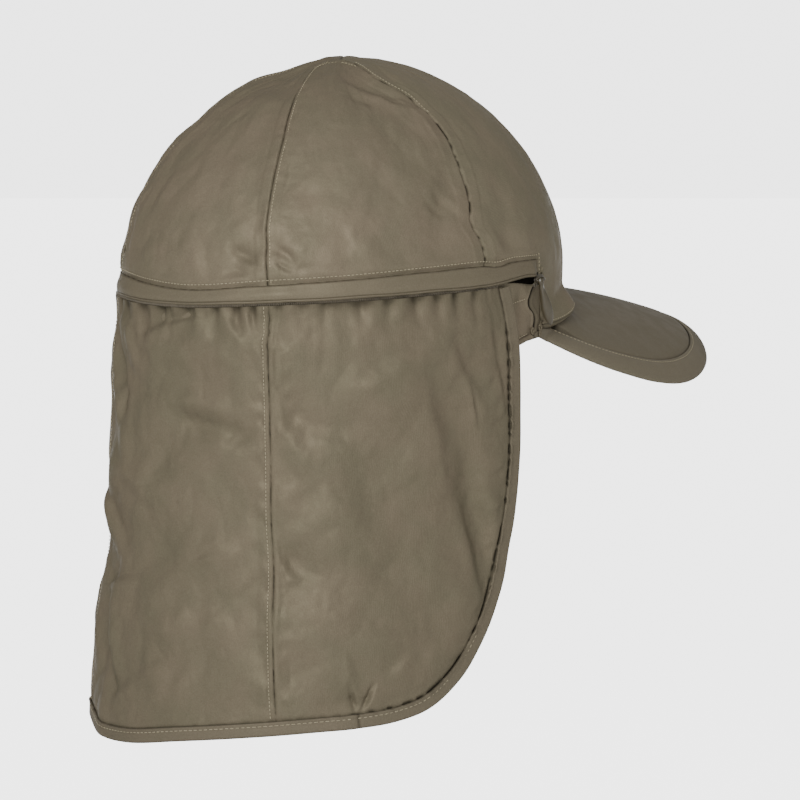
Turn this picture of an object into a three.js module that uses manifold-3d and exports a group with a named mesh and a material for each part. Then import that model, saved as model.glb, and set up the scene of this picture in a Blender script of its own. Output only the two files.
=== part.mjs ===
// A sun cap with a neck flap: a soft crown of six sewn panels, a curved peak with a bound edge,
// and a curtain of thin cloth that zips on under a guard strip and hangs round the neck.
//
// Millimetres, +Z up. The peak points to -Y and the wearer's right side is -X. The origin is the
// middle of the head opening, level with the rim at the sides. Angles round the head are in
// degrees: 0 at the front, 90 at the wearer's right, 180 at the back and 270 at the left.
import * as THREE from "three";
import { mergeVertices } from "three/addons/utils/BufferGeometryUtils.js";
import Module from "manifold-3d";

// Crown
const CROWN_LENGTH = 206; // front to back, outside
const CROWN_WIDTH = 167; // side to side, outside
const CROWN_HEIGHT = 121; // rim to top
const DOME_BASE = 35; // the wall is upright below this height and curves in above it
const DOME_FULLNESS = 1.7; // 2 is an ellipsoid, and less is flatter at the shoulders
const FRONT_FULLNESS = 0.22; // the front is this much fuller than that, and the back less full
const SEAMS = { front: 31, side: 92.2, back: 150.3 }; // angles of the seams, either side
const SEAM_SWING = 2; // degrees by which the side seams lean back on their way to the top
const CLOTH = 1.2; // thickness of one wall of sewn cloth
const SEAM_GAP = 0.4; // between two sewn pieces
const TOP_HOLE = 1.2; // radius where the panels' points meet
const FRONT_FLARE = 3.6; // the crown bulges out this far over the peak's seam
const FLARE_HEIGHT = 13;
const FLARE_FADE = 50; // past this angle the bulge fades, to nothing at the crown's step

// Zip line round the sides and back, and the strip that guards it
const CROWN_STEP = 68; // in front of this angle the crown reaches down to the peak
const ZIP_START = 75; // the zip begins here, behind its slider
const GUARD_LIFT = 1.75; // the guard's foot stands this far off the crown, over the zip
const GUARD_THICKNESS = 1;
const GUARD_BEND = 0.45; // share of its height, from the foot, that stands clear
const ZIP_HEIGHT = 4.2;
const ZIP_BELOW = 0.55; // share of that height below the zip line
const ZIP_THICKNESS = 1;

// Heights above the rim: the guard's two edges, and the zip line that it covers.
const GUARD_LINE = [
  { angle: 70, top: 36.2, foot: 31, zip: 28.2 },
  { angle: 82, top: 35.4, foot: 27.7, zip: 27.8 },
  { angle: 92, top: 34.2, foot: 25.4, zip: 26.4 },
  { angle: 107, top: 32.2, foot: 23.6, zip: 24.6 },
  { angle: 129, top: 29, foot: 21.2, zip: 22.2 },
  { angle: 151, top: 26.8, foot: 19.6, zip: 20.6 },
  { angle: 174, top: 25, foot: 18.6, zip: 19.6 },
  { angle: 190, top: 27.2, foot: 19.6, zip: 20.6 },
  { angle: 203, top: 29.6, foot: 21.2, zip: 22.2 },
  { angle: 230, top: 31.4, foot: 23, zip: 24 },
  { angle: 268, top: 34.2, foot: 25.4, zip: 26.4 },
  { angle: 290, top: 36.2, foot: 28, zip: 28.2 },
];

// Peak
const PEAK_MIDDLE = 92.8; // the outline is an oval whose middle is this far in front of the origin
const PEAK_HALF_WIDTH = 83.6;
const PEAK_REACH = 98.7; // from that middle to the front edge
const PEAK_ROUNDNESS = 2.33; // 2 is an ellipse, and more is squarer
const PEAK_FRONT_Z = 25; // top of the peak where it meets the middle of the crown
const PEAK_SLOPE = 6.8; // degrees, down towards the front
const PEAK_ARCH_RADIUS = 120.6; // at the ends of its seam
const PEAK_ARCH_TIGHTENING = 0.19; // how much that radius shrinks for each mm further forward
const PEAK_DIP = { depth: 4.4, from: -130, over: 60 }; // its front bends down past that y
const PEAK_END_Y = -42;
const PEAK_THICKNESS = 4.4;
const PEAK_BINDING = 7.2; // width of the bound edge

// Neck flap
const FLAP_SEAM = 149; // angle of the seams between the side and back pieces, at the zip
const FLAP_SEAM_SWING = -3; // degrees by which those seams have moved at the hem
const HEM_WIDTH = 6;
const HEM_THICKNESS = 1.5;

// Side outline of the flap. level is 1 at the hem, 0 at the rim and -1 at the zip.
const FLAP_SIDE = [
  { level: 1, angle: 130 },
  { level: 0.985, angle: 119 },
  { level: 0.957, angle: 111 },
  { level: 0.882, angle: 102.6 },
  { level: 0.784, angle: 96 },
  { level: 0.654, angle: 90.1 },
  { level: 0.523, angle: 86.7 },
  { level: 0.42, angle: 84.4 },
  { level: 0.28, angle: 82.8 },
  { level: 0.1, angle: 82.6 },
  { level: -0.2, angle: 82.8 },
  { level: -0.6, angle: 83.4 },
  { level: -0.85, angle: 84 },
  { level: -1, angle: 84.4 },
];

// Height of the hem round the head.
const HEM_LINE = [
  { angle: 130, z: -153 },
  { angle: 148, z: -155.3 },
  { angle: 169, z: -158.3 },
  { angle: 190, z: -161.2 },
  { angle: 202, z: -160 },
  { angle: 212, z: -155 },
  { angle: 230, z: -153 },
];

// How far the flap's outside stands out from the crown's wall, by depth below the zip.
const FLAP_FLARE = [
  { depth: 0, side: 1.9, back: 1.7 },
  { depth: 14, side: 3.6, back: 3 },
  { depth: 60, side: 5, back: 4.6 },
  { depth: 105, side: 5.6, back: 6.5 },
  { depth: 130, side: 6.4, back: 10.2 },
  { depth: 185, side: 8, back: 14 },
];

// Soft folds of the flap and dents of the crown. angle and z place a fold's middle, across and
// along are half its size in mm, lean is how many degrees its long way turns from upright
// towards the back, and out is its height in mm, or its depth if negative.
const FLAP_FOLDS = [
  { angle: 172, z: 0, across: 7, along: 26, lean: 97, out: 1.6 },
  { angle: 171, z: -17, across: 7, along: 24, lean: 99, out: -1.6 },
  { angle: 205, z: -52, across: 9, along: 30, lean: 24, out: 2.4 },
  { angle: 219, z: -82, across: 12, along: 17, lean: 20, out: -3.6 },
  { angle: 199, z: -128, across: 6, along: 34, lean: 4, out: 1.8 },
  { angle: 170, z: -98, across: 12, along: 26, lean: 60, out: 1.6 },
  { angle: 99, z: -46, across: 7, along: 34, lean: -8, out: -1.8 },
  { angle: 118, z: -20, across: 18, along: 24, lean: -35, out: 1.6 },
  { angle: 126, z: -96, across: 16, along: 26, lean: 40, out: -1.6 },
  { angle: 246, z: -44, across: 10, along: 38, lean: 10, out: 2.2 },
  { angle: 262, z: -60, across: 8, along: 34, lean: -12, out: -2 },
  { angle: 240, z: -108, across: 18, along: 22, lean: -40, out: -1.8 },
];
const CROWN_DENTS = [
  { angle: 155, z: 40, across: 4, along: 12, lean: 60, out: -1.4 },
  { angle: 146, z: 38, across: 4, along: 12, lean: -55, out: -1.2 },
  { angle: 100, z: 64, across: 6, along: 20, lean: 30, out: -1.2 },
  { angle: 82, z: 46, across: 6, along: 12, lean: 0, out: -1 },
  { angle: 204, z: 78, across: 34, along: 26, lean: 0, out: 2 },
  { angle: 38, z: 66, across: 36, along: 30, lean: 0, out: 1.4 },
  { angle: 322, z: 66, across: 36, along: 30, lean: 0, out: 1.4 },
];
const GATHER_STEP = 8; // degrees from one gather below the zip to the next
const GATHER_OUT = 0.9;
const GATHER_LENGTH = 9; // mm over which the gathers fade
const FOLDS_START = 16; // mm below the zip where the folds have their full height
const FLAP_BACK = { from: 90, full: 150 }; // the back's flare grows between these angles

// Zip fittings. The slider is a plate with a bar along it, and the puller swings on the bar.
const SLIDER_ANGLE = 71;
const SLIDER_Z = 27.6;
const SLIDER_TILT = 14; // degrees by which the zip's end turns down
const SLIDER = { long: 7, wide: 4.8, thick: 2.1, corner: 1.4 };
const BAR = { radius: 0.6, lift: 1.6, long: 4.6, post: 0.8 };
const PULL = { long: 21, wide: 4.6, thick: 1.6, barrel: 1.6, eye: 0.95, barrelLong: 2.6 };
const PULL_SWING = 10; // degrees that the bulge of the cloth below holds the puller out
const BOX = { long: 6, wide: 4.4, thick: 0.9, corner: 1 };
const ZIP_STOP = { angle: 287.5, drop: 0.8 }; // at the zip's far end

const cloth = (color) => new THREE.MeshStandardMaterial({ color, roughness: 0.62, metalness: 0 });
const SHELL_CLOTH = cloth(0x7d7362);
const GUARD_CLOTH = cloth(0x7c7363);
const PEAK_CLOTH = cloth(0x6c6455);
const BINDING_CLOTH = cloth(0x746b5c);
const ZIP_TAPE = new THREE.MeshStandardMaterial({ color: 0x5b5446, roughness: 0.8, metalness: 0 });
const ZIP_METAL = new THREE.MeshStandardMaterial({ color: 0x5d5748, roughness: 0.4, metalness: 0.6 });
const PULL_PLASTIC = new THREE.MeshStandardMaterial({ color: 0x665f4d, roughness: 0.42, metalness: 0 });

const wasm = await Module();
wasm.setup();
const hat = new THREE.Group();

// General helpers

const { lerp, clamp, degToRad } = THREE.MathUtils;
const steps = (count) => Array.from({ length: count + 1 }, (_, i) => i / count);
const ease = (x) => THREE.MathUtils.smoothstep(x, 0, 1);
const signedPower = (x, power) => Math.sign(x) * Math.abs(x) ** power;

function addMesh(name, geometry, material, parent = hat) {
  const mesh = new THREE.Mesh(geometry, material);
  mesh.name = name;
  parent.add(mesh);
}

// A column's value between the rows of a table that is sorted by the key.
function readTable(table, key, at, column) {
  const next = table.findIndex((row) => row[key] > at);
  if (next === 0) return table[0][column];
  if (next < 0) return table.at(-1)[column];
  const low = table[next - 1];
  const high = table[next];
  return lerp(low[column], high[column], (at - low[key]) / (high[key] - low[key]));
}

// A closed solid from points and corner triples, turned so that its faces point out.
function closedGeometry(points, faces) {
  let volume = 0;
  for (const [a, b, c] of faces) {
    volume += points[a].dot(new THREE.Vector3().crossVectors(points[b], points[c]));
  }
  const geometry = new THREE.BufferGeometry().setFromPoints(points);
  geometry.setIndex(faces.flatMap(([a, b, c]) => (volume > 0 ? [a, b, c] : [a, c, b])));
  return geometry;
}

// A slab between two grids of points of the same size, closed all round its border.
function slab(face, back) {
  const rows = face.length;
  const cols = face[0].length;
  const faces = [];
  const at = (side, row, col) => (side * rows + row) * cols + col;
  const quad = (a, b, c, d) => faces.push([a, b, c], [a, c, d]);
  for (let row = 0; row + 1 < rows; row++) {
    for (let col = 0; col + 1 < cols; col++) {
      quad(at(0, row, col), at(0, row + 1, col), at(0, row + 1, col + 1), at(0, row, col + 1));
      quad(at(1, row, col), at(1, row, col + 1), at(1, row + 1, col + 1), at(1, row + 1, col));
    }
  }
  const border = [];
  for (let col = 0; col + 1 < cols; col++) border.push([0, col]);
  for (let row = 0; row + 1 < rows; row++) border.push([row, cols - 1]);
  for (let col = cols - 1; col > 0; col--) border.push([rows - 1, col]);
  for (let row = rows - 1; row > 0; row--) border.push([row, 0]);
  border.forEach(([row, col], i) => {
    const [nextRow, nextCol] = border[(i + 1) % border.length];
    quad(at(0, row, col), at(0, nextRow, nextCol), at(1, nextRow, nextCol), at(1, row, col));
  });
  return closedGeometry([...face.flat(), ...back.flat()], faces);
}

// Cloth from a grid of places that each hold a point of its face and one of its back.
const clothSlab = (grid) =>
  slab(
    grid.map((line) => line.map(({ face }) => face)),
    grid.map((line) => line.map(({ back }) => back)),
  );

// A solid for cutting and joining.
function toManifold(geometry) {
  const bare = geometry.clone();
  bare.deleteAttribute("normal");
  bare.deleteAttribute("uv");
  const merged = mergeVertices(bare, 1e-4);
  return new wasm.Manifold(
    new wasm.Mesh({
      numProp: 3,
      vertProperties: new Float32Array(merged.attributes.position.array),
      triVerts: new Uint32Array(merged.index.array),
    }),
  );
}

function toGeometry(solid) {
  const { vertProperties, triVerts } = solid.getMesh();
  const geometry = new THREE.BufferGeometry();
  geometry.setAttribute("position", new THREE.BufferAttribute(vertProperties, 3));
  geometry.setIndex(new THREE.BufferAttribute(triVerts, 1));
  return geometry;
}

// The crown's wall

const wrapped = (angle) => (angle > 180 ? angle - 360 : angle);

// A point of the wall's outside at an angle and height, moved out by a distance in plan.
function wallPoint(angle, z, out = 0) {
  const rise = clamp((z - DOME_BASE) / (CROWN_HEIGHT - DOME_BASE), 0, 1);
  const fullness = DOME_FULLNESS + FRONT_FULLNESS * Math.cos(degToRad(angle));
  const shrink = Math.sqrt(1 - rise ** fullness);
  const turned = degToRad(angle + SEAM_SWING * Math.sin(degToRad(angle)) * (1 - shrink));
  return new THREE.Vector3(
    -((CROWN_WIDTH / 2) * shrink + out) * Math.sin(turned),
    -((CROWN_LENGTH / 2) * shrink + out) * Math.cos(turned),
    z,
  );
}

// Both faces of cloth whose outside stands out from the wall by a distance in plan.
function clothAt(angle, z, out, thickness = CLOTH) {
  const up = wallPoint(angle, z + 0.5).sub(wallPoint(angle, z - 0.5));
  const round = wallPoint(angle + 0.5, z).sub(wallPoint(angle - 0.5, z));
  const face = wallPoint(angle, z, out);
  const back = face.clone().addScaledVector(up.cross(round).normalize(), -thickness);
  return { face, back };
}

// Degrees that a distance along the upright wall takes up at an angle.
function degreesFor(distance, angle) {
  const turn = degToRad(angle);
  const perDegree = degToRad(
    Math.hypot((CROWN_WIDTH / 2) * Math.cos(turn), (CROWN_LENGTH / 2) * Math.sin(turn)),
  );
  return distance / perDegree;
}

// Sum of a table's folds at an angle and height, in mm out from the surface.
function foldsAt(folds, angle, z) {
  let out = 0;
  for (const fold of folds) {
    const aside = (angle - fold.angle) / degreesFor(1, fold.angle);
    const down = fold.z - z;
    const lean = degToRad(fold.lean);
    const across = (aside * Math.cos(lean) - down * Math.sin(lean)) / fold.across;
    const along = (aside * Math.sin(lean) + down * Math.cos(lean)) / fold.along;
    out += fold.out * Math.exp(-across * across - along * along);
  }
  return out;
}

const zipZ = (angle) => readTable(GUARD_LINE, "angle", angle, "zip");

// Height of the peak's top over a point in plan: an arch whose axis slopes down to the front.
function peakZ(x, y) {
  const slope = degToRad(PEAK_SLOPE);
  const radius = PEAK_ARCH_RADIUS - PEAK_ARCH_TIGHTENING * (PEAK_END_Y - y);
  const sag = (radius - Math.sqrt(radius ** 2 - x * x)) / Math.cos(slope);
  const dip = PEAK_DIP.depth * Math.max((PEAK_DIP.from - y) / PEAK_DIP.over, 0) ** 2;
  return PEAK_FRONT_Z + Math.tan(slope) * (y + CROWN_LENGTH / 2) - sag - dip;
}

// Crown panels: the wall between two seams, from its lower edge to the top.

const UPRIGHT_ROWS = 4;
const DOME_ROWS = 8;
const PANEL_COLS = 9;
const STEP_WIDTH = 0.12; // degrees either side of the step where the peak gives way to the zip

const onPeak = (angle) => Math.abs(wrapped(angle)) < CROWN_STEP;

function frontFlare(angle) {
  const fade = (Math.abs(wrapped(angle)) - FLARE_FADE) / (CROWN_STEP - FLARE_FADE);
  return FRONT_FLARE * (1 - ease(fade));
}

// The crown's lower edge lies on the peak at the front, and on the zip line further round.
function crownFootZ(angle) {
  if (!onPeak(angle)) return zipZ(angle) + SEAM_GAP / 2;
  const inner = wallPoint(angle, 0, frontFlare(angle) - CLOTH);
  return peakZ(inner.x, inner.y) + SEAM_GAP;
}

// Heights of a panel's rows at an angle. Dome rows are even turns, so they crowd at the top.
function crownHeights(angle) {
  const foot = crownFootZ(angle);
  const upright = steps(UPRIGHT_ROWS).map((s) => lerp(foot, DOME_BASE, s));
  const lastTurn = Math.acos(TOP_HOLE / (CROWN_LENGTH / 2));
  const dome = steps(DOME_ROWS).map((s) => Math.sin(s * lastTurn) ** (2 / DOME_FULLNESS));
  return [...upright, ...dome.slice(1).map((rise) => lerp(DOME_BASE, CROWN_HEIGHT, rise))];
}

function crownPanel(name, from, to) {
  const cuts = steps(PANEL_COLS).map((s) => lerp(from, to, s));
  for (const step of [CROWN_STEP, 360 - CROWN_STEP]) {
    if (step > from && step < to) cuts.push(step - STEP_WIDTH, step + STEP_WIDTH);
  }
  cuts.sort((a, b) => a - b);
  const columns = cuts.map((angle) => {
    const heights = crownHeights(angle);
    const share = (angle - from) / (to - from);
    return heights.map((z) => {
      const radius = wallPoint(angle, z).setZ(0).length();
      const inset = THREE.MathUtils.radToDeg(SEAM_GAP / 2 / radius) * (1 - 2 * share);
      const flare = frontFlare(angle) * (1 - ease((z - heights[0]) / FLARE_HEIGHT));
      const dent = foldsAt(CROWN_DENTS, angle, z) * ease((z - heights[0]) / FLARE_HEIGHT);
      return clothAt(angle + inset, z, flare + dent);
    });
  });
  const grid = columns[0].map((_, row) => columns.map((column) => column[row]));
  addMesh(name, clothSlab(grid), SHELL_CLOTH);
}

crownPanel("crown_panel_front", -SEAMS.front, SEAMS.front);
crownPanel("crown_panel_front_right", SEAMS.front, SEAMS.side);
crownPanel("crown_panel_back_right", SEAMS.side, SEAMS.back);
crownPanel("crown_panel_back", SEAMS.back, 360 - SEAMS.back);
crownPanel("crown_panel_back_left", 360 - SEAMS.back, 360 - SEAMS.side);
crownPanel("crown_panel_front_left", 360 - SEAMS.side, 360 - SEAMS.front);

// A strip of cloth round the sides and back. edge(angle, share) gives its height and how far
// out it stands, with share 0 at its foot and 1 at its top.
const STRIP_COLS = 44;

function strip(from, rows, edge, thickness) {
  const grid = steps(rows).map((share) =>
    steps(STRIP_COLS).map((s) => {
      const angle = lerp(from, 360 - from, s);
      const { z, out } = edge(angle, share);
      return clothAt(angle, z, out, thickness);
    }),
  );
  return clothSlab(grid);
}

function backBand() {
  const start = CROWN_STEP + degreesFor(SEAM_GAP, CROWN_STEP);
  const edge = (angle, share) => ({ z: lerp(0, zipZ(angle) - SEAM_GAP / 2, share), out: 0 });
  addMesh("back_band", strip(start, 2, edge, CLOTH), SHELL_CLOTH);
}
backBand();

// The guard is sewn to the crown at its top and stands off it at its foot, over the zip.
function zipGuard() {
  const edge = (angle, share) => ({
    z: lerp(
      readTable(GUARD_LINE, "angle", angle, "foot"),
      readTable(GUARD_LINE, "angle", angle, "top"),
      share,
    ),
    out: GUARD_THICKNESS + lerp(GUARD_LIFT, SEAM_GAP, ease((share - GUARD_BEND) / (1 - GUARD_BEND))),
  });
  addMesh("zip_guard", strip(GUARD_LINE[0].angle, 4, edge, GUARD_THICKNESS), GUARD_CLOTH);
}
zipGuard();

function zip() {
  const edge = (angle, share) => ({
    z: zipZ(angle) + ZIP_HEIGHT * (share - ZIP_BELOW),
    out: SEAM_GAP + ZIP_THICKNESS,
  });
  addMesh("zip", strip(ZIP_START, 1, edge, ZIP_THICKNESS), ZIP_TAPE);
}
zip();

// Neck flap

const flapTopZ = (angle) => zipZ(angle) - ZIP_HEIGHT * ZIP_BELOW - SEAM_GAP;
const hemZ = (angle) => readTable(HEM_LINE, "angle", angle, "z");

// The flap's cloth: the wall moved out by its flare, its gathers and its folds.
function flapCloth(angle, z, thickness) {
  const depth = flapTopZ(angle) - z;
  const backShare = ease((Math.abs(wrapped(angle)) - FLAP_BACK.from) / (FLAP_BACK.full - FLAP_BACK.from));
  const side = readTable(FLAP_FLARE, "depth", depth, "side");
  const back = readTable(FLAP_FLARE, "depth", depth, "back");
  const gather = 0.5 - 0.5 * Math.cos((2 * Math.PI * (angle - 180)) / GATHER_STEP);
  const out =
    lerp(side, back, backShare) +
    GATHER_OUT * gather * Math.exp(-depth / GATHER_LENGTH) +
    foldsAt(FLAP_FOLDS, angle, z) * ease(depth / FOLDS_START);
  return clothAt(angle, z, Math.max(out, FLAP_FLARE[0].back), thickness);
}

// The flap's rows from hem to zip, with its outline on the right moved in by an inset. Each has
// the angle where it starts and its level.
function flapRows(inset) {
  const drop = -hemZ(0);
  const flat = FLAP_SIDE.map(({ level, angle }) => ({
    along: angle / degreesFor(1, angle),
    z: level > 0 ? -level * drop : -level * flapTopZ(angle),
  }));
  return FLAP_SIDE.map(({ angle, level }, row) => {
    const below = flat[Math.max(row - 1, 0)];
    const above = flat[Math.min(row + 1, flat.length - 1)];
    const [along, rise] = [above.along - below.along, above.z - below.z];
    const length = Math.hypot(along, rise);
    // The ends keep their level lines: the hem moves straight up and the zip end straight back.
    const in_ = row === 0 ? { along: 0, z: 1 } : { along: rise / length, z: -along / length };
    if (row === flat.length - 1) in_.z = 0;
    return {
      front: angle + degreesFor(inset * in_.along, angle),
      level: level - (inset * in_.z) / drop,
    };
  });
}

const flapZ = (angle, level) => (level > 0 ? level * hemZ(angle) : -level * flapTopZ(angle));
const seamAngle = (level) => FLAP_SEAM + FLAP_SEAM_SWING * clamp(level, 0, 1);
const FLAP_COLS = 22;

// ends(front, seam, gap) gives the angles between which a row of this piece runs.
function flapPanel(name, ends) {
  const halfGap = degreesFor(SEAM_GAP / 2, FLAP_SEAM);
  const grid = flapRows(HEM_WIDTH + SEAM_GAP).map(({ front, level }) => {
    const [start, end] = ends(front, seamAngle(level), halfGap);
    return steps(FLAP_COLS).map((s) => {
      const angle = lerp(start, end, s);
      return flapCloth(angle, flapZ(angle, level), CLOTH);
    });
  });
  addMesh(name, clothSlab(grid), SHELL_CLOTH);
}

flapPanel("flap_panel_right", (front, seam, gap) => [front, seam - gap]);
flapPanel("flap_panel_back", (front, seam, gap) => [seam + gap, 360 - seam - gap]);
flapPanel("flap_panel_left", (front, seam, gap) => [360 - seam + gap, 360 - front]);

// The binding runs down one front edge, along the hem and up the other front edge.
function flapBinding() {
  const at = (angle, level) => flapCloth(angle, flapZ(angle, level), HEM_THICKNESS);
  const outline = (inset) => {
    const rows = flapRows(inset);
    const right = rows.map(({ front, level }) => at(front, level));
    const left = rows.map(({ front, level }) => at(360 - front, level));
    const { front, level } = rows[0];
    const hem = steps(24)
      .slice(1, -1)
      .map((s) => at(lerp(front, 360 - front, s), level));
    return [...right.reverse(), ...hem, ...left];
  };
  const grid = [0, HEM_WIDTH / 2, HEM_WIDTH].map(outline);
  addMesh("flap_binding", clothSlab(grid), BINDING_CLOTH);
}
flapBinding();

// Peak

// The peak's outline in plan, moved in by an inset. turn is 0 at the front.
function peakEdge(turn, inset) {
  const power = 2 / PEAK_ROUNDNESS;
  return new THREE.Vector3(
    -(PEAK_HALF_WIDTH - inset) * signedPower(Math.sin(turn), power),
    -PEAK_MIDDLE - (PEAK_REACH - inset) * signedPower(Math.cos(turn), power),
    0,
  );
}

// The turn at which that outline runs into the crown's wall, found by halving.
function peakCorner(inset) {
  let outside = Math.PI / 2;
  let inside = Math.PI;
  for (let i = 0; i < 30; i++) {
    const turn = (outside + inside) / 2;
    const { x, y } = peakEdge(turn, inset);
    const reach = Math.hypot(x / (CROWN_WIDTH / 2 + SEAM_GAP), y / (CROWN_LENGTH / 2 + SEAM_GAP));
    if (reach > 1) outside = turn;
    else inside = turn;
  }
  return outside;
}

const onPeakTop = (point) => point.setZ(peakZ(point.x, point.y));

const PEAK_CORNER_TURN = 0.03; // radians by which the middle ends short of the binding's corner

// The padded middle, from under the crown's edge to the binding.
function peak() {
  const inset = PEAK_BINDING + SEAM_GAP;
  const corner = peakCorner(inset) - PEAK_CORNER_TURN;
  const { x, y } = peakEdge(corner, inset);
  const crownCorner = Math.atan2(-x / CROWN_WIDTH, -y / CROWN_LENGTH) - PEAK_CORNER_TURN;
  const top = steps(5).map((s) =>
    steps(24).map((u) => {
      const outer = peakEdge(lerp(-corner, corner, u), inset);
      const angle = THREE.MathUtils.radToDeg(lerp(-crownCorner, crownCorner, u));
      return onPeakTop(wallPoint(angle, 0, -CLOTH).lerp(outer, s));
    }),
  );
  const under = top.map((line) => line.map((p) => p.clone().setZ(p.z - PEAK_THICKNESS)));
  addMesh("peak", slab(top, under), PEAK_CLOTH);
}
peak();

// The bound edge: a flat band above and below that wraps round the outline.
function peakBinding() {
  const half = PEAK_THICKNESS / 2;
  const section = [
    { inset: PEAK_BINDING, drop: 0 },
    { inset: PEAK_BINDING * 0.5, drop: 0 },
    { inset: half * 0.9, drop: half * 0.12 },
    { inset: half * 0.25, drop: half * 0.5 },
    { inset: 0, drop: half },
    { inset: half * 0.25, drop: half * 1.5 },
    { inset: half * 0.9, drop: half * 1.88 },
    { inset: PEAK_BINDING * 0.5, drop: half * 2 },
    { inset: PEAK_BINDING, drop: half * 2 },
  ];
  const columns = steps(36);
  const lines = section.map(({ inset, drop }) => {
    const corner = peakCorner(inset);
    return columns.map((u) => {
      const point = onPeakTop(peakEdge(lerp(-corner, corner, u), inset));
      return point.setZ(point.z - drop);
    });
  });
  const count = section.length;
  const points = columns.flatMap((_, col) => lines.map((line) => line[col]));
  const faces = [];
  for (let col = 0; col + 1 < columns.length; col++) {
    for (let i = 0; i < count; i++) {
      const here = col * count + i;
      const beside = col * count + ((i + 1) % count);
      faces.push([here, beside, beside + count], [here, beside + count, here + count]);
    }
  }
  const last = (columns.length - 1) * count;
  for (let i = 1; i + 1 < count; i++) {
    faces.push([0, i + 1, i], [last, last + i, last + i + 1]);
  }
  addMesh("peak_binding", closedGeometry(points, faces), BINDING_CLOTH);
}
peakBinding();

// Zip fittings

// A frame on the wall: x runs forward along it, y up and z out. tilt turns x up.
function seatOnWall(angle, z, out, tilt) {
  const forward = wallPoint(angle - 1, z).sub(wallPoint(angle + 1, z)).normalize();
  const up = new THREE.Vector3(0, 0, 1);
  const outward = forward.clone().cross(up);
  const seat = new THREE.Group();
  seat.position.copy(wallPoint(angle, z, out));
  seat.quaternion.setFromRotationMatrix(new THREE.Matrix4().makeBasis(forward, up, outward));
  seat.rotateZ(degToRad(tilt));
  hat.add(seat);
  return seat;
}

// A plate with rounded corners, its middle over the frame's origin.
function plate({ long, wide, thick, corner }) {
  const shape = new THREE.Shape();
  const [x, y] = [long / 2 - corner, wide / 2 - corner];
  shape.absarc(x, y, corner, 0, Math.PI / 2);
  shape.absarc(-x, y, corner, Math.PI / 2, Math.PI);
  shape.absarc(-x, -y, corner, Math.PI, 1.5 * Math.PI);
  shape.absarc(x, -y, corner, 1.5 * Math.PI, 2 * Math.PI);
  return new THREE.ExtrudeGeometry(shape, { depth: thick, bevelEnabled: false, curveSegments: 3 });
}

const barHeight = SLIDER.thick + BAR.lift;

function slider(seat) {
  const bar = new THREE.CylinderGeometry(BAR.radius, BAR.radius, BAR.long, 10);
  bar.rotateZ(Math.PI / 2).translate(0, 0, barHeight);
  let solid = toManifold(plate(SLIDER)).add(toManifold(bar));
  for (const side of [-1, 1]) {
    const height = BAR.lift + BAR.radius;
    const post = new THREE.BoxGeometry(BAR.post, 2 * BAR.radius, height + 0.2);
    post.translate((side * (BAR.long - BAR.post)) / 2, 0, SLIDER.thick + height / 2 - 0.1);
    solid = solid.add(toManifold(post));
  }
  addMesh("zip_slider", toGeometry(solid), ZIP_METAL, seat);
}

// The puller: a slender leaf that hangs from a barrel round the slider's bar.
function puller(seat) {
  const leaf = new THREE.Shape();
  const half = PULL.wide / 2;
  const neck = PULL.barrelLong / 2;
  const widest = -PULL.long * 0.66;
  leaf.moveTo(neck, 0);
  leaf.bezierCurveTo(neck * 0.8, widest * 0.4, half, widest * 0.6, half, widest);
  leaf.bezierCurveTo(half, widest * 1.25, half * 0.4, -PULL.long, 0, -PULL.long);
  leaf.bezierCurveTo(-half * 0.4, -PULL.long, -half, widest * 1.25, -half, widest);
  leaf.bezierCurveTo(-half, widest * 0.6, -neck * 0.8, widest * 0.4, -neck, 0);
  const body = new THREE.ExtrudeGeometry(leaf, {
    depth: PULL.thick,
    bevelEnabled: false,
    curveSegments: 6,
  });
  body.translate(0, 0, -PULL.thick / 2);
  const barrel = new THREE.CylinderGeometry(PULL.barrel, PULL.barrel, PULL.barrelLong, 14);
  const eye = new THREE.CylinderGeometry(PULL.eye, PULL.eye, PULL.wide * 2, 14);
  for (const cylinder of [barrel, eye]) cylinder.rotateZ(Math.PI / 2);
  const solid = toManifold(body).add(toManifold(barrel)).subtract(toManifold(eye));
  const hanging = new THREE.Group();
  hanging.position.set(0, 0, barHeight);
  hanging.rotateX(degToRad(-PULL_SWING));
  seat.add(hanging);
  addMesh("zip_pull", toGeometry(solid), PULL_PLASTIC, hanging);
}

const sliderSeat = seatOnWall(SLIDER_ANGLE, SLIDER_Z, SEAM_GAP, SLIDER_TILT);
slider(sliderSeat);
puller(sliderSeat);

const stopSeat = seatOnWall(ZIP_STOP.angle, zipZ(ZIP_STOP.angle) - ZIP_STOP.drop, SEAM_GAP, 0);
addMesh("zip_box", plate(BOX), ZIP_METAL, stopSeat);

export default hat;
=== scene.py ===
"""Looks of a sun cap with a neck flap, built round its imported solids.

Shapes are worked out in millimetres with the same sizes as the solids, and written in metres.
Angles round the head are in degrees: 0 at the front, 90 at the wearer's right, 180 at the back.
"""

import bpy
import bmesh
import numpy as np
from mathutils import Matrix, Vector


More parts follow.
